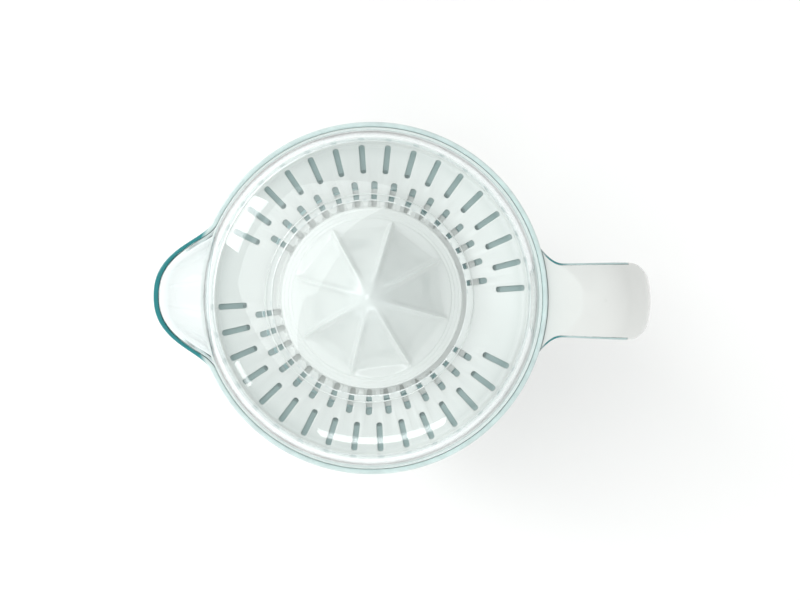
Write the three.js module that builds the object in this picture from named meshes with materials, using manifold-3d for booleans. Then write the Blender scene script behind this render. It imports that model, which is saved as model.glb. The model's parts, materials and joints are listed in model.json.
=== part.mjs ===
// Electric citrus press: motor base, lift-off jug with spout and handle, strainer, cone and clear lid.
// Millimetres, +Z up. The origin is on the cone's spin axis, on the surface that the press stands on.
// +X points along the handle, -X along the spout and +Y to the rear, where the mains cord enters.
import * as THREE from "three";
import { mergeVertices } from "three/addons/utils/BufferGeometryUtils.js";
import Module from "manifold-3d";

// ---------- driving dimensions ----------
const RIM_R = 77.5; // outer radius of the jug's rim
const RIM_Z = 170; // height of the jug's rim
const WALL = 2.2; // wall of the jug
const LID_TOP = 213.5; // top of the lid
const LID_R = 74.9; // the lid sits just inside the jug's rim
const SPOUT_OUT = 18.4; // how far the spout reaches past the rim
const SPOUT_HALF = 25; // half of the spout's width, in degrees
const SPOUT_SHAPE = 1.25; // above 1 the spout is blunter than a plain cosine
const SPOUT_LOW = 112; // the spout grows out of the wall from this height
const JUG_FOOT_Z = 87.8; // the jug's foot ring stands on the base's deck here
const JUG_FOOT_R = 57;
const CHIMNEY_R = 13; // bore of the jug's chimney
const CHIMNEY_TOP = 146;
const HANDLE_END = 129.5; // outermost point of the handle
const HANDLE_W = 34.8; // width of the handle
const HANDLE_LOW = 97; // lower end of the grip
const HANDLE_WALL = 1.4; // side walls of the clear channel
const BASE_R = 59; // largest radius of the motor base
const BASE_WALL = 2.5;
const DECK_Z = 87.5; // deck that the jug stands on
const COLLAR_R = 12;
const COLLAR_TOP = 103;
const PLATE_Z = 1.2; // underside of the base plate, just above the feet's soles
const PRESS = 2.5; // travel of the cone when fruit is pressed
const GAP = 0.3; // clearance between pieces that touch
const CONE_R = 35; // radius of the cone over its ribs
const CONE_TOP = 206.5;
const SKIRT_R = 41; // the cone's drip skirt
const SKIRT_Z = 158.6;
const RIBS = 8;
const RIB_TURN = 30.5; // direction of the first rib, in degrees
const SLOT_PITCH = 10; // degrees between slots of one ring
const SLOT_W = 2.6;
const OUTER_SLOTS = { from: 56.5, to: 70, count: 16, starts: [4.6, 184] };
const INNER_SLOTS = { from: 41.9, to: 51.9, count: 15, starts: [9.6, 189] };
const DRIP_LIP_R = 46.8; // lip round the strainer's hub, seen through the inner slots
const RING_IN = 47.6; // the pulp ring's inner radius
const FLOOR_IN = { r: 43.6, z: 154.6 }; // the strainer's conical floor starts here
const FLOOR_OUT = { r: 70.6, z: 163.6 }; // and ends here
const SHEET = 1.6; // thickness of the strainer
const RING_SHEET = 1.2; // thickness of the pulp ring
const RING_TAB_AT = 54.4; // the tabs that turn it hang between its rows of slots

const LEDGE_Z = RIM_Z - 3; // ledge inside the rim that carries the strainer
const FLOOR_Z = 94.6; // inside bottom of the jug
const HANDLE_TOP = RIM_Z - 1.6;
const HANDLE_BEND = 36; // outer radius of the handle's corner
const GRIP_BEND = 12; // and its inner radius
const HANDLE_SPLIT = 115; // the clear channel ends here and the cover is full width beyond
const GRIP_DEPTH = 18; // from the grip's inner to its outer face
const HUB_Z = 155.4; // top of the strainer's hub
const COLLAR_HOLE_R = 12; // the drive shaft passes through the strainer here
const HEX_R = 7; // drive shaft's six-sided end, over its corners
const SHAFT_TOP = 188;
const SPINDLE_R = 4;
const SPINDLE_HEX_R = 4.4;
const SPINDLE_TOP = 114;
const BUSH_R = 8.4; // bore of the base's collar
const BOSS_Z = 91.6; // raised middle of the base's deck
const PLATE_TOP = 5.2;
const FOOT_R = 7;
const FOOT_SEAT = 2.6; // depth of the feet's recesses, from the floor
const SCREW_R = 1.5;
const SCREW_HEAD_R = 3;
const HEAD_SEAT = 3.4;
const GLAND_R = 5.6;
const GLAND_Z = 14;
const CORE_LOW = 22; // the stator's laminations
const CORE_HIGH = 41;
const TOP_ROOM = 1; // room between the core and the gear plate above it
const LEG_IN = 7;
const LEG_OUT = 17;
const YOKE_X = 41;
const POLE_R = 12.4;
const ROTOR_R = 11;
const COIL_X = [-5, 26];
const MOTOR_SCREWS = [[35, 12], [35, -12]];
const SHAFT_R = 1.5;
const BEARING_R = 3.4;
const AXLE_R = 1.5;
const GEAR_PLATE_Z = 43;
const PLATE_SHEET = 2.4;
const GEAR_FLOOR_Z = GEAR_PLATE_Z + PLATE_SHEET;
const GEAR_Z = GEAR_FLOOR_Z + 0.6; // underside of the first gears
const OUTPUT_Z = GEAR_Z + 13.6; // underside of the output gear
const COVER_Z = GEAR_Z + 22;
const GEARBOX_R = 49;
const CUP_Z = 52; // underside of the thrust cup
const SWITCH_X = 13; // the switch's plunger, under the thrust cup's arm

const SEGMENTS = 32; // facets of the large turned pieces
const SMALL = 12; // facets of small turned pieces
const TAU = Math.PI * 2;

// ---------- colours and finishes ----------
const finish = (color, roughness, metalness = 0) => ({ color, roughness, metalness });
const CLEAR = { ...finish(0xdcefee, 0.05), transparent: true, opacity: 0.35 };
const WHITE = finish(0xf2f4f3, 0.25);
const HOUSING_WHITE = finish(0xeff0ef, 0.35);
const RUBBER = finish(0x9a9d9e, 0.8);
const STEEL = finish(0xb4b7ba, 0.35, 1);
const LAMINATION = finish(0x6d7075, 0.5, 1);
const COPPER = finish(0xb8693a, 0.35, 1);
const BRONZE = finish(0xa98650, 0.45, 1);
const MAGNET = finish(0x37393c, 0.6);
const NATURAL = finish(0xe8e4d8, 0.45); // unfilled acetal of the gears
const GREY = finish(0xc9ccce, 0.5);
const DARK = finish(0x2b2d2f, 0.5);

// ---------- solid helpers ----------
const wasm = await Module();
wasm.setup();

/** A closed geometry as a solid, with its shared vertices merged. */
function solid(geometry) {
  const bare = new THREE.BufferGeometry();
  const source = geometry.index ? geometry.toNonIndexed() : geometry;
  bare.setAttribute("position", source.getAttribute("position"));
  const merged = mergeVertices(bare, 1e-3);
  const triVerts = new Uint32Array(merged.index.array);
  const vertProperties = new Float32Array(merged.attributes.position.array);
  return new wasm.Manifold(new wasm.Mesh({ numProp: 3, vertProperties, triVerts }));
}

/** A solid back as a geometry. */
function geometryOf(manifold) {
  const mesh = manifold.getMesh();
  const geometry = new THREE.BufferGeometry();
  geometry.setAttribute("position", new THREE.Float32BufferAttribute(mesh.vertProperties, 3));
  geometry.setIndex(new THREE.Uint32BufferAttribute(mesh.triVerts, 1));
  return geometry;
}

const joined = (...solids) => solids.reduce((all, one) => all.add(one));
const cut = (body, ...tools) => tools.reduce((left, tool) => left.subtract(tool), body);

/** A closed or axis-to-axis outline of [r, z] points turned about Z, faces pointing out. */
function turned(outline, segments = SEGMENTS) {
  const points = outline.map(([r, z]) => new THREE.Vector2(r, z));
  if (THREE.ShapeUtils.area(points) < 0) points.reverse();
  const onAxis = points[0].x === 0 && points.at(-1).x === 0;
  if (!onAxis) points.push(points[0].clone());
  return new THREE.LatheGeometry(points, segments).rotateX(Math.PI / 2);
}

/** A tube or washer: outline of a rectangle in r and z. */
function washer(inner, outer, low, high, segments = SMALL) {
  return turned([[inner, high], [inner, low], [outer, low], [outer, high]], segments);
}

/** A plain round bar along Z. */
function bar(radius, low, high, segments = SMALL) {
  const geometry = new THREE.CylinderGeometry(radius, radius, high - low, segments);
  return geometry.rotateX(Math.PI / 2).translate(0, 0, (low + high) / 2);
}

/** A box from its lowest to its highest corner. */
function block(low, high) {
  const size = high.map((value, axis) => value - low[axis]);
  const middle = high.map((value, axis) => (value + low[axis]) / 2);
  return new THREE.BoxGeometry(...size).translate(...middle);
}

/** A plan outline of [x, y] points raised from low to high. */
function raised(outline, low, high) {
  const shape = new THREE.Shape(outline.map(([x, y]) => new THREE.Vector2(x, y)));
  const geometry = new THREE.ExtrudeGeometry(shape, { depth: high - low, bevelEnabled: false });
  return geometry.translate(0, 0, low);
}

/** A side outline of [x, z] points, given width along Y and centred on Y = 0. */
function sideways(outline, width) {
  const shape = new THREE.Shape(outline.map(([x, z]) => new THREE.Vector2(x, z)));
  const geometry = new THREE.ExtrudeGeometry(shape, { depth: width, bevelEnabled: false });
  return geometry.rotateX(Math.PI / 2).translate(0, width / 2, 0);
}

/** Points of an arc about (x, y), from one angle to another in degrees. */
function arc(x, y, radius, from, to, steps) {
  return Array.from({ length: steps + 1 }, (_, i) => {
    const angle = THREE.MathUtils.degToRad(from + ((to - from) * i) / steps);
    return [x + radius * Math.cos(angle), y + radius * Math.sin(angle)];
  });
}

const polar = (degrees, radius) => {
  const angle = THREE.MathUtils.degToRad(degrees);
  return [radius * Math.cos(angle), radius * Math.sin(angle)];
};

// ---------- the scene graph ----------
const press = new THREE.Group();

/** Adds a named piece, from a geometry or a solid, at an optional place. */
function piece(parent, name, shape, look, place = [0, 0, 0]) {
  const geometry = shape.isBufferGeometry ? shape : geometryOf(shape);
  const mesh = new THREE.Mesh(geometry, new THREE.MeshStandardMaterial(look));
  mesh.name = name;
  mesh.position.set(...place);
  parent.add(mesh);
  return mesh;
}

// ---------- jug ----------
/** Share of the spout's full reach in a direction, 0 to 1, by degrees off the spout's middle. */
function spoutShare(degrees) {
  const off = Math.min(Math.abs(degrees) / SPOUT_HALF, 1);
  return (1 + Math.cos(Math.PI * off ** SPOUT_SHAPE)) / 2;
}

/** Pulls the jug's wall out into the spout, the more the higher it is. The chimney stays round. */
function pullSpout(geometry) {
  const position = geometry.getAttribute("position");
  for (let i = 0; i < position.count; i++) {
    const [x, y, z] = [position.getX(i), position.getY(i), position.getZ(i)];
    const radius = Math.hypot(x, y);
    if (z <= SPOUT_LOW || radius < RIM_R / 2) continue;
    const off = THREE.MathUtils.radToDeg(Math.atan2(y, -x));
    const rise = THREE.MathUtils.smoothstep(z, SPOUT_LOW, RIM_Z);
    const scale = 1 + (SPOUT_OUT * spoutShare(off) * rise) / radius;
    position.setXY(i, x * scale, y * scale);
  }
  return geometry;
}

/** The jug's outer wall above its foot, as [r, z]; the inner wall runs inside it by WALL. */
const JUG_SIDE = [[60.4, 95], [64.6, 106], [68.6, 120], [71.8, 136], [74, 150], [75.3, 162]];

function jugBody() {
  const inside = JUG_SIDE.map(([r, z]) => [r - WALL, Math.max(z, FLOOR_Z)]).reverse();
  return pullSpout(
    turned([
      [CHIMNEY_R, CHIMNEY_TOP],
      [CHIMNEY_R + 0.6, FLOOR_Z - WALL],
      [JUG_FOOT_R - 5, FLOOR_Z - WALL],
      [JUG_FOOT_R - 4.5, JUG_FOOT_Z],
      [JUG_FOOT_R - 1, JUG_FOOT_Z],
      [JUG_FOOT_R, JUG_FOOT_Z + 1.6],
      ...JUG_SIDE,
      [RIM_R, RIM_Z - 5],
      [RIM_R, RIM_Z],
      [RIM_R - WALL, RIM_Z],
      [RIM_R - WALL, LEDGE_Z],
      [RIM_R - WALL - 2.1, LEDGE_Z - 0.6],
      ...inside,
      [CHIMNEY_R + 3.4, FLOOR_Z],
      [CHIMNEY_R + 2, CHIMNEY_TOP],
    ]),
  );
}

/** Half of the handle's width at a distance from the axis: flared where it meets the jug. */
function handleHalf(x) {
  const slender = HANDLE_W / 2 - (HANDLE_SPLIT - x) * 0.034;
  return slender + 4.6 * (Math.max(84 - x, 0) / 8) ** 2;
}

/** Plan outline of the handle between two distances, its sides moved inwards by inset. */
function handlePlan(from, to, inset) {
  const bends = [78, 80, 82, 84, HANDLE_SPLIT].filter((x) => x > from && x < to);
  const side = [from, ...bends, to].map((x) => [x, handleHalf(Math.min(x, HANDLE_SPLIT)) - inset]);
  return [...side.map(([x, y]) => [x, -y]), ...side.reverse()];
}

/** Top and outer side of the handle, moved inwards by inset, from the jug out and down. */
function handleBack(inset) {
  const bend = HANDLE_BEND - inset;
  const [x, z] = [HANDLE_END - HANDLE_BEND, HANDLE_TOP - HANDLE_BEND];
  return [...arc(x, z, bend, 90, 0, 8), [HANDLE_END - 1.6 - inset, HANDLE_LOW]];
}

/** Inner side of the handle, moved outwards by inset, from its lower end up and in to the jug. */
function handleInner(inset) {
  const x = HANDLE_END - GRIP_DEPTH + inset;
  const z = HANDLE_TOP - GRIP_DEPTH + inset;
  return [[x - 0.8, HANDLE_LOW], ...arc(x - GRIP_BEND, z - GRIP_BEND, GRIP_BEND, 0, 90, 4)];
}

/** Side outline of the whole handle between its two faces. */
function handleSide(start, backInset, innerInset) {
  const inner = handleInner(innerInset);
  const roof = inner.at(-1)[1];
  return [[start, HANDLE_TOP - backInset], ...handleBack(backInset), ...inner, [start, roof - 1.5]];
}

/** The clear channel: floor and two side walls, open to the outside, ending at HANDLE_SPLIT. */
function handleChannel() {
  const root = RIM_R - 5.5;
  const whole = solid(sideways(handleSide(root, 0, 0), 2 * RIM_R))
    .intersect(solid(raised(handlePlan(root, HANDLE_SPLIT, 0), 0, LID_TOP)));
  const hollow = solid(sideways(handleSide(RIM_R + 0.4, -9, HANDLE_WALL + 0.2), 2 * RIM_R))
    .intersect(solid(raised(handlePlan(RIM_R + 0.4, HANDLE_END + 9, HANDLE_WALL), 0, LID_TOP)));
  return cut(whole, hollow);
}

/** The white cover: fills the channel's mouth, is full width beyond it, and is hollow behind. */
function handleCover() {
  const inset = HANDLE_WALL + GAP;
  const start = RIM_R + 0.8;
  const corner = 9;
  const end = HANDLE_END;
  const half = HANDLE_W / 2;
  const tip = [
    [HANDLE_SPLIT + GAP, -half],
    ...arc(end - corner, corner - half, corner, -90, 0, 4),
    ...arc(end - corner, half - corner, corner, 0, 90, 4),
    [HANDLE_SPLIT + GAP, half],
  ];
  const plan = joined(
    solid(raised(handlePlan(start, HANDLE_SPLIT + 2, inset), 0, LID_TOP)),
    solid(raised(tip, 0, LID_TOP)),
  );
  const outer = solid(sideways(handleSide(start, 0, inset + 0.2), 2 * RIM_R)).intersect(plan);
  const behind = solid(sideways(handleSide(start + 2, 2, -4), HANDLE_W - 8));
  const aboveEnd = solid(block([0, -RIM_R, HANDLE_LOW + 2], [HANDLE_END, RIM_R, LID_TOP]));
  return cut(outer, behind.intersect(aboveEnd));
}

const jugGroup = new THREE.Group();
press.add(jugGroup);
piece(jugGroup, "jug", jugAndChannel(), CLEAR);
piece(jugGroup, "handle_cover", handleCover(), WHITE);

/** The jug's body with its handle channel, whose root ends in the middle of the wall. */
function jugAndChannel() {
  const middle = JUG_SIDE.map(([r, z]) => [r - WALL / 2, z]);
  const rim = RIM_R - WALL / 2;
  const inside = turned([[0, FLOOR_Z], ...middle, [rim, LEDGE_Z - 2], [rim, RIM_Z], [0, RIM_Z]]);
  return joined(solid(jugBody()), cut(handleChannel(), solid(inside)));
}

// ---------- strainer and pulp ring ----------
const FLOOR_SLOPE = (FLOOR_OUT.z - FLOOR_IN.z) / (FLOOR_OUT.r - FLOOR_IN.r);
const floorAt = (r) => FLOOR_IN.z + (r - FLOOR_IN.r) * FLOOR_SLOPE;

/** Upright cutters for one ring of slots, as one solid. */
function slotCutters({ from, to, count, starts }) {
  const half = SLOT_W / 2;
  const outline = [[from, -half], [to, -half], [to, half], [from, half]];
  const cutters = starts.flatMap((start) =>
    Array.from({ length: count }, (_, i) => {
      const turn = THREE.MathUtils.degToRad(start + i * SLOT_PITCH);
      return solid(raised(outline, FLOOR_IN.z - 2.8, RIM_Z).rotateZ(turn));
    }),
  );
  return joined(...cutters);
}

function strainer() {
  const collar = [[COLLAR_HOLE_R, HUB_Z + 7], [COLLAR_HOLE_R, HUB_Z - SHEET]];
  const bowl = turned([
    ...collar,
    [FLOOR_IN.r - 3.4, HUB_Z - SHEET],
    [FLOOR_IN.r - 3.2, FLOOR_IN.z - 5.2],
    [DRIP_LIP_R, FLOOR_IN.z - 4.6],
    [DRIP_LIP_R, FLOOR_IN.z - 3.4],
    [FLOOR_IN.r - 1.8, FLOOR_IN.z - 3.6],
    [FLOOR_IN.r - 1.8, HUB_Z - SHEET],
    [FLOOR_IN.r, FLOOR_IN.z - SHEET],
    [FLOOR_OUT.r + 0.4, FLOOR_OUT.z - SHEET],
    [FLOOR_OUT.r + 1.6, FLOOR_OUT.z],
    [FLOOR_OUT.r + 2, LEDGE_Z + GAP],
    [LID_R, LEDGE_Z + GAP],
    [LID_R, LEDGE_Z + 2],
    [FLOOR_OUT.r + 0.6, LEDGE_Z + 2],
    [FLOOR_OUT.r, FLOOR_OUT.z],
    [FLOOR_IN.r, FLOOR_IN.z],
    [FLOOR_IN.r - 0.8, HUB_Z],
    [COLLAR_HOLE_R + 2, HUB_Z],
    [COLLAR_HOLE_R + 1.6, HUB_Z + 7],
  ]);
  return cut(solid(bowl), slotCutters(OUTER_SLOTS), slotCutters(INNER_SLOTS));
}

/**
 * Lies under the strainer's floor. Both rows of its slots are half a pitch off, so that the strainer's slots
 * are closed, but for small windows at the inner ends of the outer ones.
 */
function pulpRing() {
  const [inner, outer] = [RING_IN, FLOOR_OUT.r + 0.2];
  const under = (r) => floorAt(r) - SHEET * 1.06 - GAP;
  const ring = turned([
    [inner, under(inner)],
    [inner, under(inner) - RING_SHEET],
    [outer, under(outer) - RING_SHEET],
    [outer, under(outer)],
  ]);
  const half = SLOT_PITCH / 2;
  const row = (slots, from, to, turn) => {
    return slotCutters({ from, to, count: slots.count, starts: slots.starts.map((start) => start + turn) });
  };
  const tabs = [1, -1].map((side) => {
    const x = side * RING_TAB_AT;
    return solid(block([x - 1.6, -5, under(RING_TAB_AT) - 6], [x + 1.6, 5, under(RING_TAB_AT) - 0.6]));
  });
  return joined(
    cut(
      solid(ring),
      row(OUTER_SLOTS, RING_IN + 12.8, OUTER_SLOTS.to - 0.6, half),
      row(OUTER_SLOTS, RING_IN + 8.6, RING_IN + 11.2, 0),
      row(INNER_SLOTS, RING_IN + 1.4, INNER_SLOTS.to, half),
    ),
    ...tabs,
  );
}

piece(jugGroup, "strainer", strainer(), WHITE);
piece(jugGroup, "pulp_ring", pulpRing(), WHITE);

// ---------- cone and drive shaft ----------
const CONE_FOOT_Z = SKIRT_Z + 4.2; // the ribs start here, above the skirt

/** Radius of the cone's ribs at a height: an ogive with a rounded tip. */
function ribRadius(z) {
  const up = (z - CONE_FOOT_Z) / (CONE_TOP - CONE_FOOT_Z);
  return CONE_R * Math.max(1 - up, 0) ** 0.66;
}

/** The cone's outer surface: a turned shape whose sides are hollowed between the ribs. */
function coneOutside() {
  const heights = [0, 0.16, 0.34, 0.52, 0.7, 0.84, 0.93, 0.985];
  const side = heights.map((up) => {
    const z = CONE_FOOT_Z + up * (CONE_TOP - CONE_FOOT_Z);
    return [ribRadius(z), z];
  });
  const skirt = [[0, SKIRT_Z], [SKIRT_R, SKIRT_Z], [SKIRT_R, SKIRT_Z + 1.6], [CONE_R + 1.5, CONE_FOOT_Z - 1.4]];
  const geometry = turned([...skirt, ...side, [0, CONE_TOP]], RIBS * 4);
  const position = geometry.getAttribute("position");
  for (let i = 0; i < position.count; i++) {
    const z = position.getZ(i);
    if (z <= CONE_FOOT_Z + 1) continue;
    const turn = THREE.MathUtils.radToDeg(Math.atan2(position.getY(i), position.getX(i)));
    const sector = Math.abs((turn / (360 / RIBS)) % 1);
    const hollow = 0.17 * (1 - Math.abs(2 * sector - 1) ** 1.6);
    const share = 1 - hollow * THREE.MathUtils.smoothstep(CONE_TOP - z, 0, 12);
    position.setXY(i, position.getX(i) * share, position.getY(i) * share);
  }
  return geometry.rotateZ(THREE.MathUtils.degToRad(RIB_TURN));
}

function cone() {
  const tube = HEX_R + 3.4;
  const inside = turned([
    [tube, SKIRT_Z - 1],
    [SKIRT_R - 1.8, SKIRT_Z - 1],
    [SKIRT_R - 1.8, SKIRT_Z + 0.4],
    [CONE_R - 7.2, CONE_FOOT_Z + 1],
    [ribRadius(CONE_FOOT_Z + 14) - 7, CONE_FOOT_Z + 13],
    [tube, CONE_FOOT_Z + 24],
  ], RIBS * 4);
  const socket = hexBar(HEX_R + 0.45, SKIRT_Z - 1, SHAFT_TOP + GAP);
  return cut(solid(coneOutside()), solid(inside), solid(socket));
}

/** A six-sided bar along Z. */
function hexBar(radius, low, high) {
  return bar(radius, low, high, 6);
}

/** The lift-out shaft from the spindle's six-sided end up into the cone, with its drip umbrella. */
function driveShaft() {
  const low = COLLAR_TOP + PRESS + 1;
  const roof = CHIMNEY_TOP + 4.8;
  const body = turned([
    [0, low],
    [8.4, low],
    [8.4, SPINDLE_TOP + 6],
    [6.6, SPINDLE_TOP + 12],
    [6.6, roof - 1.4],
    [16.6, roof - 1.4],
    [16.8, roof - 8.4],
    [18, roof - 8.4],
    [18, roof],
    [8, roof + 0.6],
    [0, roof + 0.6],
  ], SMALL + 8);
  const upper = solid(hexBar(HEX_R, roof - 1, SHAFT_TOP));
  const socket = solid(hexBar(SPINDLE_HEX_R + 0.4, low - 1, SPINDLE_TOP + GAP));
  return cut(joined(solid(body), upper), socket);
}

piece(press, "drive_shaft", driveShaft(), WHITE);
piece(press, "cone", cone(), WHITE);

// ---------- lid ----------
/** The dome above its lip, outside, as [r, z]. */
const DOME = [[72.9, 172], [71.8, 186], [67.4, 199], [57.6, 208], [42, 211.8]];

function lid() {
  const inside = DOME.map(([r, z]) => [r - 2 * (r / RIM_R), z - 2 * (1 - (r / RIM_R) ** 4)]);
  const lip = LEDGE_Z + 2 + GAP;
  return turned([
    [0, LID_TOP],
    ...[...DOME].reverse(),
    [LID_R, 171.6],
    [LID_R, lip],
    [inside[0][0], lip],
    ...inside,
    [0, LID_TOP - 2],
  ]);
}

piece(press, "lid", lid(), CLEAR);

// ---------- base: shell, plate, feet, gland ----------
const base = new THREE.Group();
press.add(base);

const BOSS_ANGLES = [15, 105, 195, 285]; // columns in the shell for the plate's screws
const BOSS_AT = 54.8;
const PILLARS = [[60, 44], [310, 43], [240, 43], [192, 43]]; // gearbox pillars, [degrees, radius]
const FEET = [45, 135, 225, 315];
const FOOT_AT = 46;

function housing() {
  const shell = turned([
    [COLLAR_R, COLLAR_TOP],
    [BUSH_R, COLLAR_TOP],
    [BUSH_R, DECK_Z - 3.5],
    [COLLAR_R, DECK_Z - 3.5],
    [COLLAR_R, BOSS_Z - BASE_WALL],
    [47.9, BOSS_Z - BASE_WALL],
    [48.4, DECK_Z - BASE_WALL],
    [54.6, DECK_Z - BASE_WALL],
    [BASE_R - BASE_WALL, 46],
    [BASE_R + 2 - BASE_WALL, PLATE_Z + 0.8],
    [BASE_R + 2, PLATE_Z + 0.8],
    [BASE_R, 46],
    [BASE_R - 1.6, DECK_Z - 2.4],
    [BASE_R - 3, DECK_Z],
    [51, DECK_Z],
    [50.4, BOSS_Z],
    [COLLAR_R + 0.5, BOSS_Z],
  ]);
  const columns = BOSS_ANGLES.map((angle) => {
    const [x, y] = polar(angle, BOSS_AT);
    return solid(bar(4, PLATE_TOP + GAP, 30, 10).translate(x, y, 0));
  });
  const bores = BOSS_ANGLES.map((angle) => {
    const [x, y] = polar(angle, BOSS_AT);
    return solid(bar(1.7, 0, 24, 8).translate(x, y, 0));
  });
  const gland = solid(bar(GLAND_R + GAP, 0, 20).rotateX(-Math.PI / 2).translate(0, 50, GLAND_Z));
  return cut(joined(solid(shell), ...columns), ...bores, gland);
}

/** The base's bottom: vents, recesses for the feet, screw holes and the gearbox pillars. */
function basePlate() {
  const plate = solid(bar(BASE_R + 2 - BASE_WALL - GAP - 0.2, PLATE_Z, PLATE_TOP, SEGMENTS));
  const pillars = PILLARS.map(([angle, radius]) => {
    const [x, y] = polar(angle, radius);
    return solid(bar(4.4, PLATE_TOP - 1, GEAR_PLATE_Z - GAP, 12).translate(x, y, 0));
  });
  const pillarBores = PILLARS.map(([angle, radius]) => {
    const [x, y] = polar(angle, radius);
    return solid(bar(SCREW_R + GAP, 16, GEAR_PLATE_Z + 1, 8).translate(x, y, 0));
  });
  const footRecesses = FEET.map((angle) => {
    const [x, y] = polar(angle, FOOT_AT);
    return solid(bar(FOOT_R + GAP, 0, FOOT_SEAT, SMALL).translate(x, y, 0));
  });
  const screwHoles = BOSS_ANGLES.flatMap((angle) => {
    const [x, y] = polar(angle, BOSS_AT);
    const through = solid(bar(SCREW_R + GAP, 0, 10, 8).translate(x, y, 0));
    return [through, solid(bar(SCREW_HEAD_R + GAP, 0, HEAD_SEAT, 12).translate(x, y, 0))];
  });
  const vents = Array.from({ length: 12 }, (_, i) => {
    const vent = block([14, -1.4, 0], [32, 1.4, 10]);
    return solid(vent.rotateZ((TAU * (i + 0.5)) / 12));
  });
  return cut(joined(plate, ...pillars), ...pillarBores, ...footRecesses, ...screwHoles, ...vents);
}

/** A pan-head screw pointing up, its head's underside at seat. */
function screw(seat, length) {
  return turned([
    [0, seat - 2],
    [SCREW_HEAD_R - 0.8, seat - 2],
    [SCREW_HEAD_R, seat - 1],
    [SCREW_HEAD_R, seat],
    [SCREW_R, seat],
    [SCREW_R, seat + length],
    [0, seat + length],
  ], 8);
}

piece(base, "base_housing", housing(), HOUSING_WHITE);
piece(base, "base_plate", basePlate(), GREY);
FEET.forEach((angle, i) => {
  const foot = turned([
    [0, 0],
    [FOOT_R - 0.8, 0],
    [FOOT_R, 0.8],
    [FOOT_R, FOOT_SEAT - GAP],
    [0, FOOT_SEAT - GAP],
  ], SMALL);
  piece(base, `foot_${i + 1}`, foot, RUBBER, [...polar(angle, FOOT_AT), 0]);
});
BOSS_ANGLES.forEach((angle, i) => {
  const place = [...polar(angle, BOSS_AT), 0];
  piece(base, `plate_screw_${i + 1}`, screw(HEAD_SEAT - GAP, 14), STEEL, place);
});

/** The bush in the rear wall that the mains cord enters through, along +Y. */
function cordGland() {
  const outline = [
    [3.3, 0], [GLAND_R, 0], [GLAND_R, 9], [GLAND_R + 1.8, 9.4],
    [GLAND_R + 1.4, 11.4], [4.6, 16], [3.3, 16],
  ];
  return turned(outline, SMALL).rotateX(-Math.PI / 2).translate(0, BASE_R - 6.6, GLAND_Z);
}
piece(base, "cord_gland", cordGland(), DARK);

const spindleBush = washer(SPINDLE_R + 0.2, BUSH_R - GAP, DECK_Z + 1, COLLAR_TOP - 4.5);
piece(base, "spindle_bush", spindleBush, BRONZE);
const spindleSeal = turned([
  [SPINDLE_R + 0.6, COLLAR_TOP - 4],
  [BUSH_R - GAP, COLLAR_TOP - 4],
  [BUSH_R - GAP, COLLAR_TOP - 0.6],
  [SPINDLE_R + 2, COLLAR_TOP - 0.6],
  [SPINDLE_R + 0.3, COLLAR_TOP - 1.6],
], SMALL);
piece(base, "spindle_seal", spindleSeal, RUBBER);

// ---------- gear train ----------
const ROTOR_AT = [-22, 0];
const STAGES = {
  rotor: { module: 0.8, pinion: 8, wheel: 32 },
  first: { module: 1, pinion: 10, wheel: 30 },
  last: { module: 1.25, pinion: 12, wheel: 32 },
};
const centreDistance = ({ module, pinion, wheel }) => (module * (pinion + wheel)) / 2;

/** Degrees from one [x, y] place to another. */
const bearing = (from, to) =>
  THREE.MathUtils.radToDeg(Math.atan2(to[1] - from[1], to[0] - from[0]));

const GEAR_1_BEARING = 110; // from the rotor
const GEAR_1_AT = polar(GEAR_1_BEARING, centreDistance(STAGES.rotor)).map((v, i) => v + ROTOR_AT[i]);
const GEAR_2_AT = gear2Place();

/** Gear 2 meshes with gear 1 and with the output gear on the axis: the point at both distances. */
function gear2Place() {
  const near = centreDistance(STAGES.first);
  const far = centreDistance(STAGES.last);
  const apart = Math.hypot(...GEAR_1_AT);
  const cosine = (far ** 2 + apart ** 2 - near ** 2) / (2 * far * apart);
  const turn = THREE.MathUtils.radToDeg(Math.acos(cosine));
  return polar(bearing([0, 0], GEAR_1_AT) - turn, far);
}

/** Plan outline of a gear whose first tooth points in a direction, in degrees. */
function gearOutline(module, teeth, direction) {
  const pitch = 360 / teeth;
  const root = module * (teeth / 2 - 1.2);
  const tip = module * (teeth / 2 + 0.85);
  return Array.from({ length: teeth }, (_, i) => direction + i * pitch).flatMap((middle) => [
    polar(middle - 0.27 * pitch, root),
    polar(middle - 0.09 * pitch, tip),
    polar(middle + 0.09 * pitch, tip),
    polar(middle + 0.27 * pitch, root),
  ]);
}

/** A toothed wheel or pinion with a tooth, or a gap, facing its mate. */
function toothed(module, teeth, low, high, facing, gapThere = false) {
  const direction = facing + (gapThere ? 180 / teeth : 0);
  return solid(raised(gearOutline(module, teeth, direction), low, high));
}

const bore = (radius, low, high, segments = 10) => solid(bar(radius, low, high, segments));

/** An intermediate gear: a wheel with the next stage's pinion on top, bored for its axle. */
function intermediateGear(at, from, stageIn, stageOut, to, low, face, high) {
  const wheel = toothed(stageIn.module, stageIn.wheel, low, low + face, bearing(at, from), true);
  const pinion = toothed(stageOut.module, stageOut.pinion, low + face - 0.2, high, bearing(at, to));
  return cut(joined(wheel, pinion), bore(AXLE_R + GAP, low - 1, high + 1));
}

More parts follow.
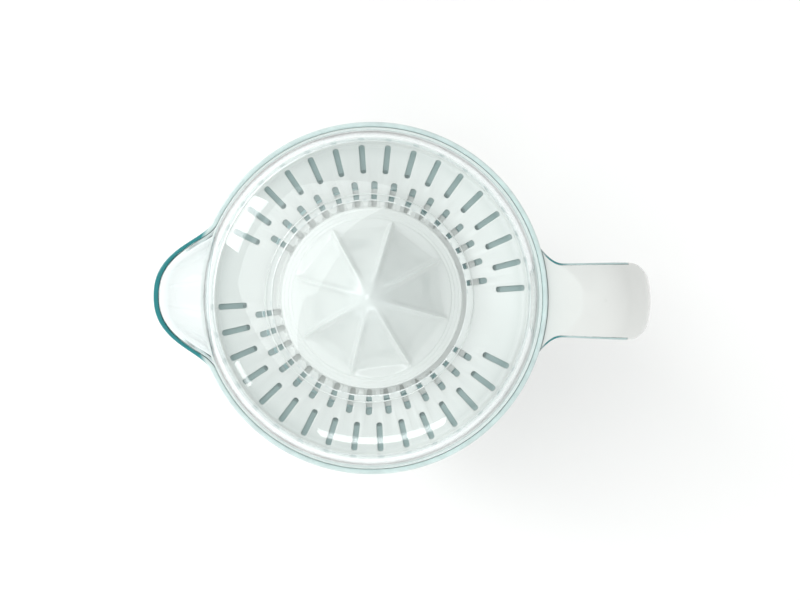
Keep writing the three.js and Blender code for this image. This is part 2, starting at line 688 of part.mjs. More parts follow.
const rotorPinion = cut(
  toothed(STAGES.rotor.module, STAGES.rotor.pinion, GEAR_Z, GEAR_Z + 5.4, GEAR_1_BEARING),
  bore(SHAFT_R + 0.2, 0, LID_TOP, 8),
);
const gear1 = intermediateGear(
  GEAR_1_AT, ROTOR_AT, STAGES.rotor, STAGES.first, GEAR_2_AT, GEAR_Z + 0.2, 4.6, GEAR_Z + 11,
);
const gear2 = intermediateGear(
  GEAR_2_AT, GEAR_1_AT, STAGES.first, STAGES.last, [0, 0], GEAR_Z + 5.4, 5, GEAR_Z + 20.6,
);
const outputGear = cut(
  toothed(STAGES.last.module, STAGES.last.wheel, OUTPUT_Z, OUTPUT_Z + 6, bearing([0, 0], GEAR_2_AT), true),
  bore(SPINDLE_R + GAP, 0, LID_TOP, SMALL),
);
piece(base, "rotor_pinion", rotorPinion, STEEL, [...ROTOR_AT, 0]);
piece(base, "gear_1", gear1, NATURAL, [...GEAR_1_AT, 0]);
piece(base, "gear_2", gear2, NATURAL, [...GEAR_2_AT, 0]);
piece(base, "output_gear", outputGear, NATURAL);

const spindle = joined(
  solid(bar(SPINDLE_R, CUP_Z + 2.4, COLLAR_TOP + PRESS + 0.6, SMALL)),
  solid(hexBar(SPINDLE_HEX_R, COLLAR_TOP + PRESS + 0.4, SPINDLE_TOP)),
);
piece(base, "output_spindle", spindle, STEEL);

[GEAR_1_AT, GEAR_2_AT].forEach((at, i) => {
  const axle = bar(AXLE_R, GEAR_PLATE_Z + 0.2, COVER_Z + 2.2, 10);
  piece(base, `axle_${i + 1}`, axle, STEEL, [...at, 0]);
});

// ---------- gearbox plates and their screws ----------
/** A round plate bored for the axles and the pillar screws. */
function gearboxPlate(low, high) {
  const axles = [GEAR_1_AT, GEAR_2_AT].map(([x, y]) => bore(AXLE_R + GAP, 0, LID_TOP).translate([x, y, 0]));
  const screws = PILLARS.map(([angle, radius]) => {
    return bore(SCREW_R + GAP, 0, LID_TOP).translate([...polar(angle, radius), 0]);
  });
  return { plate: solid(bar(GEARBOX_R, low, high, 32)), bores: [...axles, ...screws] };
}

function gearPlate() {
  const { plate, bores } = gearboxPlate(GEAR_PLATE_Z, GEAR_PLATE_Z + PLATE_SHEET);
  const posts = PILLARS.map(([angle, radius]) => {
    const [x, y] = polar(angle, radius);
    return solid(bar(4, GEAR_PLATE_Z + 1, COVER_Z - GAP, 12).translate(x, y, 0));
  });
  const rotorHole = bore(BEARING_R + GAP, 0, LID_TOP, 12).translate([...ROTOR_AT, 0]);
  const motorHoles = MOTOR_SCREWS.map(([x, y]) => bore(SCREW_R + GAP, 0, LID_TOP).translate([x, y, 0]));
  return cut(joined(plate, ...posts), ...bores, rotorHole, ...motorHoles);
}

function gearCover() {
  const { plate, bores } = gearboxPlate(COVER_Z, COVER_Z + PLATE_SHEET);
  return cut(plate, ...bores, bore(SPINDLE_R + 0.4, 0, LID_TOP, SMALL));
}

piece(base, "gear_plate", gearPlate(), GREY);
piece(base, "gear_cover", gearCover(), GREY);
PILLARS.forEach(([angle, radius], i) => {
  const longScrew = screw(0, COVER_Z - 24).rotateX(Math.PI);
  const place = [...polar(angle, radius), COVER_Z + PLATE_SHEET + GAP];
  piece(base, `gearbox_screw_${i + 1}`, longScrew, STEEL, place);
});

// ---------- thrust cup, spring and switch ----------
const cup = joined(
  solid(turned([
    [0, CUP_Z - 2.5], [3.4, CUP_Z - 2.5], [3.4, CUP_Z], [8, CUP_Z],
    [8, CUP_Z + 3.6], [SPINDLE_R + 0.5, CUP_Z + 3.6], [SPINDLE_R + 0.5, CUP_Z + 2], [0, CUP_Z + 2],
  ], SMALL)),
  solid(block([6, -3, CUP_Z], [14.6, 3, CUP_Z + 1.6])),
);
piece(base, "thrust_cup", cup, NATURAL);

/** A compression spring between the gear plate and the thrust cup. */
function returnSpring() {
  const [low, high, radius, wire, turns] = [GEAR_FLOOR_Z + 1, CUP_Z - 1, 5.4, 0.6, 3];
  const steps = turns * 8;
  const points = Array.from({ length: steps + 1 }, (_, i) => {
    const [x, y] = polar((360 * i) / 8, radius);
    return new THREE.Vector3(x, y, THREE.MathUtils.lerp(low, high, i / steps));
  });
  const section = new THREE.Shape(arc(0, 0, wire, 0, 288, 4).map(([x, y]) => new THREE.Vector2(x, y)));
  const extrudePath = new THREE.CatmullRomCurve3(points);
  return new THREE.ExtrudeGeometry(section, { steps, extrudePath });
}
piece(base, "return_spring", returnSpring(), STEEL);

const switchBody = cut(
  solid(block([9, -4, GEAR_FLOOR_Z + GAP], [23, 4, CUP_Z - PRESS - 2 * GAP])),
  bore(1.8, 0, LID_TOP, 8).translate([SWITCH_X, 0, 0]),
);
piece(base, "switch_body", switchBody, DARK);
piece(base, "switch_plunger", bar(1.4, GEAR_FLOOR_Z + PRESS + 0.4, CUP_Z - GAP, 8), NATURAL, [SWITCH_X, 0, 0]);

// ---------- motor ----------
/** Plan outline of the laminated core: two legs past the rotor, joined by a yoke at +X. */
function coreOutline() {
  const [rx] = ROTOR_AT;
  const pole = Math.acos(LEG_IN / POLE_R);
  const half = 90 - THREE.MathUtils.radToDeg(pole);
  const upper = [
    [YOKE_X, LEG_OUT],
    [rx - 14, LEG_OUT],
    [rx - 14, LEG_IN],
    ...arc(rx, 0, POLE_R, 180 - half, half, 6),
    [YOKE_X - 12, LEG_IN],
  ];
  return [...upper, ...[...upper].reverse().map(([x, y]) => [x, -y])];
}

const core = cut(
  solid(raised(coreOutline(), CORE_LOW, CORE_HIGH)),
  ...MOTOR_SCREWS.map(([x, y]) => bore(SCREW_R + GAP, 0, LID_TOP).translate([x, y, 0])),
);
piece(base, "stator_core", core, LAMINATION);
MOTOR_SCREWS.forEach(([x, y], i) => {
  const length = GEAR_FLOOR_Z - CORE_LOW;
  piece(base, `motor_screw_${i + 1}`, screw(CORE_LOW - GAP, length), STEEL, [x, y, 0]);
});

/** A rectangular tube along X round one leg of the core, thicker by the given amounts. */
function legTube(side, near, far, x0, x1) {
  const middle = (side * (LEG_IN + LEG_OUT)) / 2;
  const half = (LEG_OUT - LEG_IN) / 2;
  const box = (grow, low, high) => {
    return solid(block(
      [low, middle - half - grow, CORE_LOW - grow],
      [high, middle + half + grow, CORE_HIGH + Math.min(grow, TOP_ROOM)],
    ));
  };
  return cut(box(far, x0, x1), box(near, x0 - 1, x1 + 1));
}

[1, -1].forEach((side, i) => {
  const [x0, x1] = COIL_X;
  const flanges = [[x0, x0 + 1.2], [x1 - 1.2, x1]].map(([low, high]) => legTube(side, GAP, 5.2, low, high));
  const bobbin = joined(legTube(side, GAP, 1.2, x0, x1), ...flanges);
  piece(base, `coil_bobbin_${i + 1}`, bobbin, NATURAL);
  const winding = legTube(side, 1.2 + GAP / 2, 4.8, x0 + 1.2 + GAP, x1 - 1.2 - GAP);
  piece(base, `coil_winding_${i + 1}`, winding, COPPER);
});

const magnet = washer(SHAFT_R + 0.2, ROTOR_R, CORE_LOW, CORE_HIGH - 0.4, 24);
piece(base, "rotor_magnet", magnet, MAGNET, [...ROTOR_AT, 0]);
piece(base, "rotor_shaft", bar(SHAFT_R, CORE_LOW - 7, GEAR_Z + 6.6, 10), STEEL, [...ROTOR_AT, 0]);
const upperBush = washer(SHAFT_R + GAP, BEARING_R, GEAR_PLATE_Z, GEAR_FLOOR_Z, 12);
piece(base, "rotor_bush_upper", upperBush, BRONZE, [...ROTOR_AT, 0]);
const lowerBush = washer(SHAFT_R + GAP, BEARING_R, CORE_LOW - 6.6, CORE_LOW - 2.4, 12);
piece(base, "rotor_bush_lower", lowerBush, BRONZE, [...ROTOR_AT, 0]);

/** The strap under the core that carries the rotor's lower bush. */
const strap = cut(
  joined(
    solid(block([-6, -LEG_OUT, CORE_LOW - 5.4], [6, LEG_OUT, CORE_LOW - 3])),
    ...[1, -1].map((side) => {
      const y = side * (LEG_OUT - 1.5);
      return solid(block([-6, y - 1.5, CORE_LOW - 4], [6, y + 1.5, CORE_LOW - GAP]));
    }),
  ),
  bore(BEARING_R + GAP, 0, CORE_HIGH, 12),
);
piece(base, "rotor_bracket", strap, STEEL, [...ROTOR_AT, 0]);

// ---------- internal leads ----------
/** An insulated wire through the given places. */
function lead(places) {
  const extrudePath = new THREE.CatmullRomCurve3(places.map((place) => new THREE.Vector3(...place)));
  const section = new THREE.Shape(arc(0, 0, 1.1, 0, 300, 5).map(([x, y]) => new THREE.Vector2(x, y)));
  return new THREE.ExtrudeGeometry(section, { steps: 14, extrudePath });
}

const leadIn = lead([
  [0, 51, GLAND_Z], [5, 51.5, 24], [18, 49, 36], [40, 34, 40],
  [51.5, 9, 42], [52, -4, 50], [44, -6, 54], [32, -2, 50], [24.4, 0.6, 48],
]);
piece(base, "lead_gland_to_switch", leadIn, DARK);
const leadOut = lead([
  [24.4, -2.6, 47.4], [38, -14, 50], [50, -18, 49], [51.5, -19, 38], [45, -26, 33], [34, -27, 30], [22, -23.4, 30],
]);
piece(base, "lead_switch_to_coil", leadOut, DARK);

export default press;
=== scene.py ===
"""An electric citrus press: motor base, clear jug, slotted strainer, ribbed cone and clear lid.

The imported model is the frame. The pieces that are seen stand for its nodes with their true curves
and finishes, and the pieces inside the base keep their nodes and get a finish. Sizes are in
millimetres, and every piece is made where the frame has it.
"""

from __future__ import annotations

import json
import logging
import math
from collections.abc import Callable, Iterable, Mapping, Sequence
from dataclasses import dataclass, field
from enum import Enum
from typing import Any

import bmesh
import bpy
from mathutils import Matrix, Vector

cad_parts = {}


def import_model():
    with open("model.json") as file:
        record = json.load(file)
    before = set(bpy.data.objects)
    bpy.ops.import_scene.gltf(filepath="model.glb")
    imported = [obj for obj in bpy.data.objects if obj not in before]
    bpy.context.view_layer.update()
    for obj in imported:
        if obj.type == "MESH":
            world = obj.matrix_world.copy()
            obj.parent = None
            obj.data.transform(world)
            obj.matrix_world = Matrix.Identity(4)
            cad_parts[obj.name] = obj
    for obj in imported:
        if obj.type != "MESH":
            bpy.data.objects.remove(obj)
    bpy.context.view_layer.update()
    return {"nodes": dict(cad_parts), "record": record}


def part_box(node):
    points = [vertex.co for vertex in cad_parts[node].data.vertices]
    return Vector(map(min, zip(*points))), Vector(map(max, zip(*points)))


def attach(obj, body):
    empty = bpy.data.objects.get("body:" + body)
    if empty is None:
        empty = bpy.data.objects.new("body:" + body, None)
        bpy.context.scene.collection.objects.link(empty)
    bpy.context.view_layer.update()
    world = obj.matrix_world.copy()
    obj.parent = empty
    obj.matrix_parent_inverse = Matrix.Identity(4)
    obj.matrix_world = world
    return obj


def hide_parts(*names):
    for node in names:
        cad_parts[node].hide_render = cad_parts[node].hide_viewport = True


LOG = logging.getLogger("citrus_press")
MM = 0.001

Point = tuple[float, float, float]
Corner = tuple[float, float, float]
Pair = tuple[float, float]
Outline = list[Pair]
Shading = dict[str, bpy.types.NodeSocket]


class Body(Enum):
    """The frame's bodies that made pieces ride on."""

    BASE = "base"
    JUG = "jug"
    STRAINER = "strainer"
    PULP_RING = "pulp_ring"
    CONE = "cone"
    DRIVE_SHAFT = "drive_shaft"
    LID = "lid"


class Carve(Enum):
    """What a second solid does to the first."""

    CUT = "DIFFERENCE"
    JOIN = "UNION"
    KEEP = "INTERSECT"


class Side(Enum):
    """Direction in which an outline is drawn out into a solid."""

    UP = "up"
    ACROSS = "across"


# ---------- places in the frame ----------


def low(node: str) -> Vector:
    """Lowest corner of a frame node, in millimetres."""
    return Vector(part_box(node)[0]) / MM


def high(node: str) -> Vector:
    """Highest corner of a frame node, in millimetres."""
    return Vector(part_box(node)[1]) / MM


def middle(node: str) -> Vector:
    """Middle of a frame node's box, in millimetres."""
    return (low(node) + high(node)) / 2


# ---------- outlines ----------


def rounded(corners: Sequence[Corner], arc_step: float = 15.0) -> Outline:
    """Rounds the corners of a closed outline.

    Args:
        corners: Each corner's two coordinates and its radius.
        arc_step: Largest turn between two points of an arc, in degrees.

    Returns:
        The outline with its arcs as points.
    """
    points: Outline = []
    for index, (across, up, radius) in enumerate(corners):
        here = Vector((across, up))
        before = Vector(corners[index - 1][:2]) - here
        after = Vector(corners[(index + 1) % len(corners)][:2]) - here
        opening = before.angle(after) if radius > 0 else math.pi
        if opening > math.radians(178):
            points.append((across, up))
            continue
        reach = min(radius / math.tan(opening / 2), before.length * 0.49, after.length * 0.49)
        inward = (before.normalized() + after.normalized()).normalized()
        centre = here + inward * (reach / math.cos(opening / 2))
        first = here + before.normalized() * reach - centre
        last = here + after.normalized() * reach - centre
        steps = max(2, math.ceil(math.degrees(math.pi - opening) / arc_step))
        turn = math.copysign(math.pi - opening, first.x * last.y - first.y * last.x)
        for step in range(steps + 1):
            angle = turn * step / steps
            points.append((
                centre.x + first.x * math.cos(angle) - first.y * math.sin(angle),
                centre.y + first.x * math.sin(angle) + first.y * math.cos(angle),
            ))
    return points


def curve_through(points: Sequence[tuple[float, float]], steps: int = 6) -> list[Corner]:
    """A smooth curve through points, as corners without a radius.

    Args:
        points: The points that the curve passes through.
        steps: Parts that each span is divided into.

    Returns:
        The curve's points, first and last included.
    """
    ends = [
        tuple(2 * a - b for a, b in zip(points[0], points[1])), *points,
        tuple(2 * a - b for a, b in zip(points[-1], points[-2])),
    ]
    curve: list[Corner] = []
    for index in range(len(points) - 1):
        p0, p1, p2, p3 = (Vector(ends[index + k]) for k in range(4))
        for step in range(steps):
            t = step / steps
            spot = 0.5 * (
                2 * p1
                + (p2 - p0) * t
                + (2 * p0 - 5 * p1 + 4 * p2 - p3) * t**2
                + (3 * p1 - p0 - 3 * p2 + p3) * t**3
            )
            curve.append((spot.x, spot.y, 0.0))
    curve.append((*points[-1], 0.0))
    return curve


def arc(centre: tuple[float, float], radius: float, start: float, end: float, steps: int) -> Outline:
    """Points on an arc.

    Args:
        centre: The arc's centre.
        radius: The arc's radius.
        start: First direction, in degrees.
        end: Last direction, in degrees.
        steps: Parts that the arc is divided into.

    Returns:
        The points, both ends included.
    """
    turns = [math.radians(start + (end - start) * step / steps) for step in range(steps + 1)]
    return [(centre[0] + radius * math.cos(t), centre[1] + radius * math.sin(t)) for t in turns]


def smoothstep(value: float, start: float, end: float) -> float:
    """Rises smoothly from 0 at start to 1 at end."""
    share = min(max((value - start) / (end - start), 0.0), 1.0)
    return share * share * (3 - 2 * share)


def turned(x: float, y: float, turn: float) -> Pair:
    """X and Y of a point turned about the axis, by an angle in radians."""
    cos, sin = math.cos(turn), math.sin(turn)
    return (x * cos - y * sin, x * sin + y * cos)


# ---------- solids ----------


class Shell:
    """Points and faces of one closed surface, or of several beside each other."""

    def __init__(self) -> None:
        """Starts without points."""
        self.points: list[Point] = []
        self.faces: list[list[int]] = []

    def turn(
        self, outline: Outline, facets: int = 192, bend: Callable[[Point], Point] | None = None,
        centre: tuple[float, float] = (0.0, 0.0),
    ) -> Shell:
        """Adds a closed outline turned about an upright axis.

        Args:
            outline: Radius and height of each point.
            facets: Facets around the axis.
            bend: Moves each point after turning, about the axis at zero.
            centre: Where the axis stands.

        Returns:
            This shell.
        """
        rings: list[list[int]] = []
        for radius, height in outline:
            count = 1 if radius < 1e-6 else facets
            first = len(self.points)
            for step in range(count):
                turn = math.tau * step / facets
                point = (radius * math.cos(turn), radius * math.sin(turn), height)
                x, y, z = bend(point) if bend else point
                self.points.append((x + centre[0], y + centre[1], z))
            rings.append([first + step % count for step in range(facets)])
        self._bridge(rings, closed=True)
        return self

    def loft(self, sections: Sequence[Sequence[Point]]) -> Shell:
        """Adds a solid through closed sections, with a flat face at each end.

        Args:
            sections: Sections with equal numbers of points.

        Returns:
            This shell.
        """
        rings: list[list[int]] = []
        for section in sections:
            first = len(self.points)
            self.points.extend(section)
            rings.append(list(range(first, first + len(section))))
        self._bridge(rings, closed=False)
        self.faces.append(rings[0][::-1])
        self.faces.append(rings[-1])
        return self

    def prism(self, outline: Outline, start: float, end: float, side: Side = Side.UP) -> Shell:
        """Adds an outline drawn out into a solid.

        Args:
            outline: The outline, in X and Y, or in X and Z where it is drawn out across.
            start: Where the solid starts along its direction.
            end: Where it ends.
            side: The direction.

        Returns:
            This shell.
        """
        sections = []
        for depth in (start, end):
            if side is Side.UP:
                sections.append([(a, b, depth) for a, b in outline])
            else:
                sections.append([(a, depth, b) for a, b in outline])
        return self.loft(sections)

    def _bridge(self, rings: Sequence[Sequence[int]], closed: bool) -> None:
        """Adds the faces between neighbouring rings.

        Args:
            rings: Each ring's point numbers.
            closed: Whether the last ring joins the first.
        """
        following = [*rings[1:], rings[0]] if closed else rings[1:]
        for ring, beyond in zip(rings, following):
            for step in range(len(ring)):
                after = (step + 1) % len(ring)
                corners = (ring[step], ring[after], beyond[after], beyond[step])
                face = list(dict.fromkeys(corners))
                if len(face) > 2:
                    self.faces.append(face)

    def piece(self, name: str) -> bpy.types.Object:
        """Makes the object.

        Args:
            name: The piece's name.

        Returns:
            The new object, in the frame's place.
        """
        mesh = bpy.data.meshes.new(name)
        mesh.from_pydata([tuple(c * MM for c in point) for point in self.points], [], self.faces)
        shape = bmesh.new()
        shape.from_mesh(mesh)
        bmesh.ops.remove_doubles(shape, verts=shape.verts, dist=0.002 * MM)
        bmesh.ops.recalc_face_normals(shape, faces=shape.faces)
        shape.to_mesh(mesh)
        shape.free()
        made = bpy.data.objects.new(name, mesh)
        bpy.context.scene.collection.objects.link(made)
        return made


def carve(body: bpy.types.Object, tool: bpy.types.Object, how: Carve = Carve.CUT) -> bpy.types.Object:
    """Combines two solids and removes the second.

    Args:
        body: The solid that is changed.
        tool: The solid that changes it.
        how: What the second does.

    Returns:
        The first solid.
    """
    modifier = body.modifiers.new(how.name, "BOOLEAN")
    modifier.operation = how.value
    modifier.solver = "EXACT"
    modifier.object = tool
    graph = bpy.context.evaluated_depsgraph_get()
    result = bpy.data.meshes.new_from_object(body.evaluated_get(graph))
    body.modifiers.clear()
    spent = [body.data, tool.data]
    body.data = result
    bpy.data.objects.remove(tool)
    for mesh in spent:
        bpy.data.meshes.remove(mesh)
    result.name = body.name
    return body


# ---------- finishes ----------


def linear(code: str) -> tuple[float, float, float, float]:
    """Turns an sRGB hex colour into linear light.

    Args:
        code: The colour, such as #f2f4f3.

    Returns:
        Its linear red, green and blue, and an alpha of one.
    """
    channels = [int(code[i : i + 2], 16) / 255 for i in (1, 3, 5)]
    scene = [c / 12.92 if c <= 0.04045 else ((c + 0.055) / 1.055) ** 2.4 for c in channels]
    return (scene[0], scene[1], scene[2], 1.0)


def add_node(
    tree: bpy.types.NodeTree, kind: str, settings: Mapping[str | int, Any] | None = None,
    links: Mapping[str | int, bpy.types.NodeSocket] | None = None,
) -> bpy.types.Node:
    """Adds a shader node.

    Args:
        tree: The material's node tree.
        kind: The node's type, without its "ShaderNode" prefix.
        settings: Values for inputs, by name or number, and for the node's own properties.
        links: Output sockets that feed inputs, by the inputs' names or numbers.

    Returns:
        The new node.
    """
    node = tree.nodes.new(f"ShaderNode{kind}")
    for key, value in (settings or {}).items():
        if isinstance(key, str) and hasattr(node, key):
            setattr(node, key, value)
        else:
            node.inputs[key].default_value = value
    for key, source in (links or {}).items():
        tree.links.new(source, node.inputs[key])
    return node


def per_mm(size: float) -> float:
    """Texture scale of a pattern whose features are that many millimetres apart."""
    return 1 / (size * MM)


def varied(
    tree: bpy.types.NodeTree, place: bpy.types.NodeSocket, size: float, limits: Pair, detail: float = 3.0,
    span: Pair = (0.0, 1.0), distortion: float = 0.0,
) -> bpy.types.NodeSocket:
    """Adds a value that wanders between two limits from patch to patch.

    Args:
        tree: The material's node tree.
        place: The point that is shaded.
        size: Size of the patches, in millimetres.
        limits: The lowest and highest value.
        detail: How much finer noise the patches hold.
        span: The part of the noise's range that is stretched over the limits.
        distortion: How far the patches are drawn out of shape.

    Returns:
        The value's socket.
    """
    noise = {"Scale": per_mm(size), "Detail": detail, "Distortion": distortion}
    patches = add_node(tree, "TexNoise", noise, {"Vector": place})
    (near, far), (low_end, high_end) = span, limits
    ends = {"From Min": near, "From Max": far, "To Min": low_end, "To Max": high_end}
    return add_node(tree, "MapRange", ends, {"Value": patches.outputs[0]}).outputs[0]


def grained(
    tree: bpy.types.NodeTree, place: bpy.types.NodeSocket, size: float, depth: float, detail: float = 2.0,
    strength: float = 1.0,
) -> bpy.types.NodeSocket:
    """Adds the relief of an irregular grain.

    Args:
        tree: The material's node tree.
        place: The point that is shaded.
        size: Spacing of the grain, in millimetres.
        depth: Depth of the grain, in millimetres.
        detail: How much finer noise the grain holds.
        strength: Share of the relief that shows.

    Returns:
        The socket of the bent normal.
    """
    noise = {"Scale": per_mm(size), "Detail": detail}
    height = add_node(tree, "TexNoise", noise, {"Vector": place}).outputs[0]
    bump = {"Strength": strength, "Distance": depth * MM}
    return add_node(tree, "Bump", bump, {"Height": height}).outputs[0]


@dataclass(frozen=True)
class Finish:
    """What a piece is made of, and how its surface was made."""

    name: str

    def build(self) -> bpy.types.Material:
        """Makes the node material.

        Returns:
            The material.
        """
        material = bpy.data.materials.new(self.name)
        material.use_nodes = True
        tree = material.node_tree
        tree.nodes.clear()
        output = tree.nodes.new("ShaderNodeOutputMaterial")
        place = add_node(tree, "TexCoord").outputs["Object"]
        for name, source in self.shade(tree, place).items():
            tree.links.new(source, output.inputs[name])
        return material

    def shade(self, tree: bpy.types.NodeTree, place: bpy.types.NodeSocket) -> Shading:
        """Adds the finish's own nodes.

        Args:
            tree: The material's node tree.
            place: The point that is shaded.

        Returns:
            The sockets that feed the material's output, by its inputs' names.
        """
        raise NotImplementedError


@dataclass(frozen=True)
class MouldedPlastic(Finish):
    """An opaque injection moulding, whose skin copies the tool's surface."""

    colour: str
    roughness: float
    ior: float
    grain: float
    grain_depth: float
    flow: float = 14.0
    flow_shade: float = 0.03
    depth_light: float = 0.0

    def shade(self, tree: bpy.types.NodeTree, place: bpy.types.NodeSocket) -> Shading:
        """Adds a faint flow mottle, uneven gloss and the tool's grain.

        Args:
            tree: The material's node tree.
            place: The point that is shaded.

        Returns:
            The sockets that feed the material's output, by its inputs' names.
        """
        mottle = (1 - self.flow_shade, 1 + self.flow_shade * 0.4)
        colour = add_node(
            tree, "VectorMath", {"operation": "SCALE", 0: linear(self.colour)[:3]},
            {"Scale": varied(tree, place, self.flow, mottle, distortion=0.6)},
        )
        gloss = (self.roughness * 0.85, self.roughness * 1.18)
        shader = add_node(
            tree, "BsdfPrincipled",
            {
                "IOR": self.ior, "Subsurface Weight": self.depth_light, "Subsurface Scale": 1.2 * MM,
                "Subsurface Radius": (1.0, 1.0, 1.0),
            },
            {
                "Base Color": colour.outputs[0],
                "Roughness": varied(tree, place, 4.0, gloss, 4.0, (0.3, 0.7)),
                "Normal": grained(tree, place, self.grain, self.grain_depth),
            },
        )
        return {"Surface": shader.outputs[0]}


@dataclass(frozen=True)
class ClearMoulding(Finish):
    """A clear injection moulding from a polished tool, tinted through its whole thickness."""

    tint: str
    tint_depth: float
    ior: float
    roughness: float
    ripple: float
    ripple_depth: float
    cast: str = "#fdfefe"

    def shade(self, tree: bpy.types.NodeTree, place: bpy.types.NodeSocket) -> Shading:
        """Adds a smooth skin with a faint ripple, and a tint that deepens with the way through.

        Shadow and diffuse rays go straight through, so the pieces inside are lit evenly.

        Args:
            tree: The material's node tree.
            place: The point that is shaded.

        Returns:
            The sockets that feed the material's output, by its inputs' names.
        """
        haze = (self.roughness, self.roughness * 2.2)
        glass = add_node(
            tree, "BsdfPrincipled",
            {"Base Color": (1.0, 1.0, 1.0, 1.0), "IOR": self.ior, "Transmission Weight": 1.0},
            {
                "Roughness": varied(tree, place, 9.0, haze, 5.0, (0.35, 0.75), 1.5),
                "Normal": grained(tree, place, self.ripple, self.ripple_depth, 1.0),
            },
        )
        clear = add_node(tree, "BsdfTransparent", {"Color": linear(self.cast)})
        ray = add_node(tree, "LightPath").outputs
        straight = add_node(
            tree, "Math", {"operation": "MAXIMUM"}, {0: ray["Is Shadow Ray"], 1: ray["Is Diffuse Ray"]}
        )
        shares = {0: straight.outputs[0], 1: glass.outputs[0], 2: clear.outputs[0]}
        tint = {"Color": linear(self.tint), "Density": 1 / (self.tint_depth * MM)}
        return {
            "Surface": add_node(tree, "MixShader", None, shares).outputs[0],
            "Volume": add_node(tree, "VolumeAbsorption", tint).outputs[0],
        }


@dataclass(frozen=True)
class PaintedEdgeLight(Finish):
    """The open edge of a clear moulding, with the light that comes out of its walls painted into its
    colour.

    The painted light is pale up to a first distance from the axis and deep beyond a second one. Along the
    handle the deep colour fades between two distances, because the wall's way to the light gets shorter
    there.
    """

    pale: str
    deep: str
    change: Pair
    fade: Pair
    roughness: float
    clear_share: float
    ior: float = 1.57

    def shade(self, tree: bpy.types.NodeTree, place: bpy.types.NodeSocket) -> Shading:
        """Adds the painted edge light by place, with the faint flow of the melt.

        Args:
            tree: The material's node tree.
            place: The point that is shaded.

        Returns:
            The sockets that feed the material's output, by its inputs' names.
        """
        level = add_node(tree, "VectorMath", {"operation": "MULTIPLY", 1: (1.0, 1.0, 0.0)}, {0: place})
        away = add_node(tree, "VectorMath", {"operation": "LENGTH"}, {0: level.outputs[0]})
        along = add_node(tree, "SeparateXYZ", None, {0: place})
        near, far = self.change
        start, end = self.fade
        deep = add_node(
            tree, "MapRange", {"From Min": near * MM, "From Max": far * MM},
            {"Value": away.outputs["Value"]},
        )
        kept = add_node(
            tree, "MapRange",
            {"From Min": start * MM, "From Max": end * MM, "To Min": 1.0, "To Max": 0.3},
            {"Value": along.outputs["X"]},
        )
        share = add_node(tree, "Math", {"operation": "MULTIPLY"}, {0: deep.outputs[0], 1: kept.outputs[0]})
        colour = add_node(
            tree, "Mix", {"data_type": "RGBA", 6: linear(self.pale), 7: linear(self.deep)},
            {0: share.outputs[0]},
        )
        streaks = varied(tree, place, 5.0, (0.8, 1.15), 2.0)
        uneven = add_node(
            tree, "VectorMath", {"operation": "SCALE"}, {0: colour.outputs[2], "Scale": streaks}
        )
        gloss = {"IOR": self.ior, "Roughness": self.roughness, "Transmission Weight": self.clear_share}
        shader = add_node(tree, "BsdfPrincipled", gloss, {"Base Color": uneven.outputs[0]})
        return {"Surface": shader.outputs[0]}


@dataclass(frozen=True)
class WorkedMetal(Finish):
    """A metal whose marks run round or along the piece, from turning, drawing or stamping."""

    colour: str
    roughness: float
    marks: float
    stretch: Point = (1.0, 1.0, 8.0)
    mark_depth: float = 0.01

    def shade(self, tree: bpy.types.NodeTree, place: bpy.types.NodeSocket) -> Shading:
        """Adds fine marks in one direction, in gloss and relief.

        Args:
            tree: The material's node tree.
            place: The point that is shaded.

        Returns:
            The sockets that feed the material's output, by its inputs' names.
        """
        along = add_node(tree, "Mapping", {"Scale": self.stretch}, {"Vector": place}).outputs[0]
        gloss = (self.roughness * 0.75, self.roughness * 1.3)
        colour = add_node(
            tree, "VectorMath", {"operation": "SCALE", 0: linear(self.colour)[:3]},
            {"Scale": varied(tree, place, 6.0, (0.88, 1.08))},
        )
        shader = add_node(
            tree, "BsdfPrincipled", {"Metallic": 1.0},
            {
                "Base Color": colour.outputs[0], "Roughness": varied(tree, along, self.marks, gloss, 4.0),
                "Normal": grained(tree, along, self.marks, self.mark_depth, 4.0),
            },
        )
        return {"Surface": shader.outputs[0]}


@dataclass(frozen=True)
class Layered(Finish):
    """A stack of sheets or turns of wire, drawn as even bands with a dark joint between them."""

    colour: str
    joint: str
    pitch: float
    direction: str
    roughness: float
    metallic: float

    def shade(self, tree: bpy.types.NodeTree, place: bpy.types.NodeSocket) -> Shading:
        """Adds bands at the given pitch, in colour and relief.

        Args:
            tree: The material's node tree.
            place: The point that is shaded.

        Returns:
            The sockets that feed the material's output, by its inputs' names.
        """
        # A wave texture repeats every tau / 20 of its scaled length.
        wave = {
            "bands_direction": self.direction, "wave_profile": "SIN",
            "Scale": math.tau / 20 * per_mm(self.pitch), "Distortion": 0.3, "Detail": 1.0,
        }
        bands = add_node(tree, "TexWave", wave, {"Vector": place}).outputs["Fac"]
        ramp = add_node(tree, "MapRange", {"From Min": 0.08, "From Max": 0.4}, {"Value": bands})
        colour = add_node(
            tree, "Mix", {"data_type": "RGBA", 6: linear(self.joint), 7: linear(self.colour)},
            {0: ramp.outputs[0]},
        )
        depth = {"Strength": 0.8, "Distance": self.pitch * 0.3 * MM}
        relief = add_node(tree, "Bump", depth, {"Height": bands})
        shader = add_node(
            tree, "BsdfPrincipled", {"Metallic": self.metallic, "Roughness": self.roughness},
            {"Base Color": colour.outputs[2], "Normal": relief.outputs[0]},
        )
        return {"Surface": shader.outputs[0]}


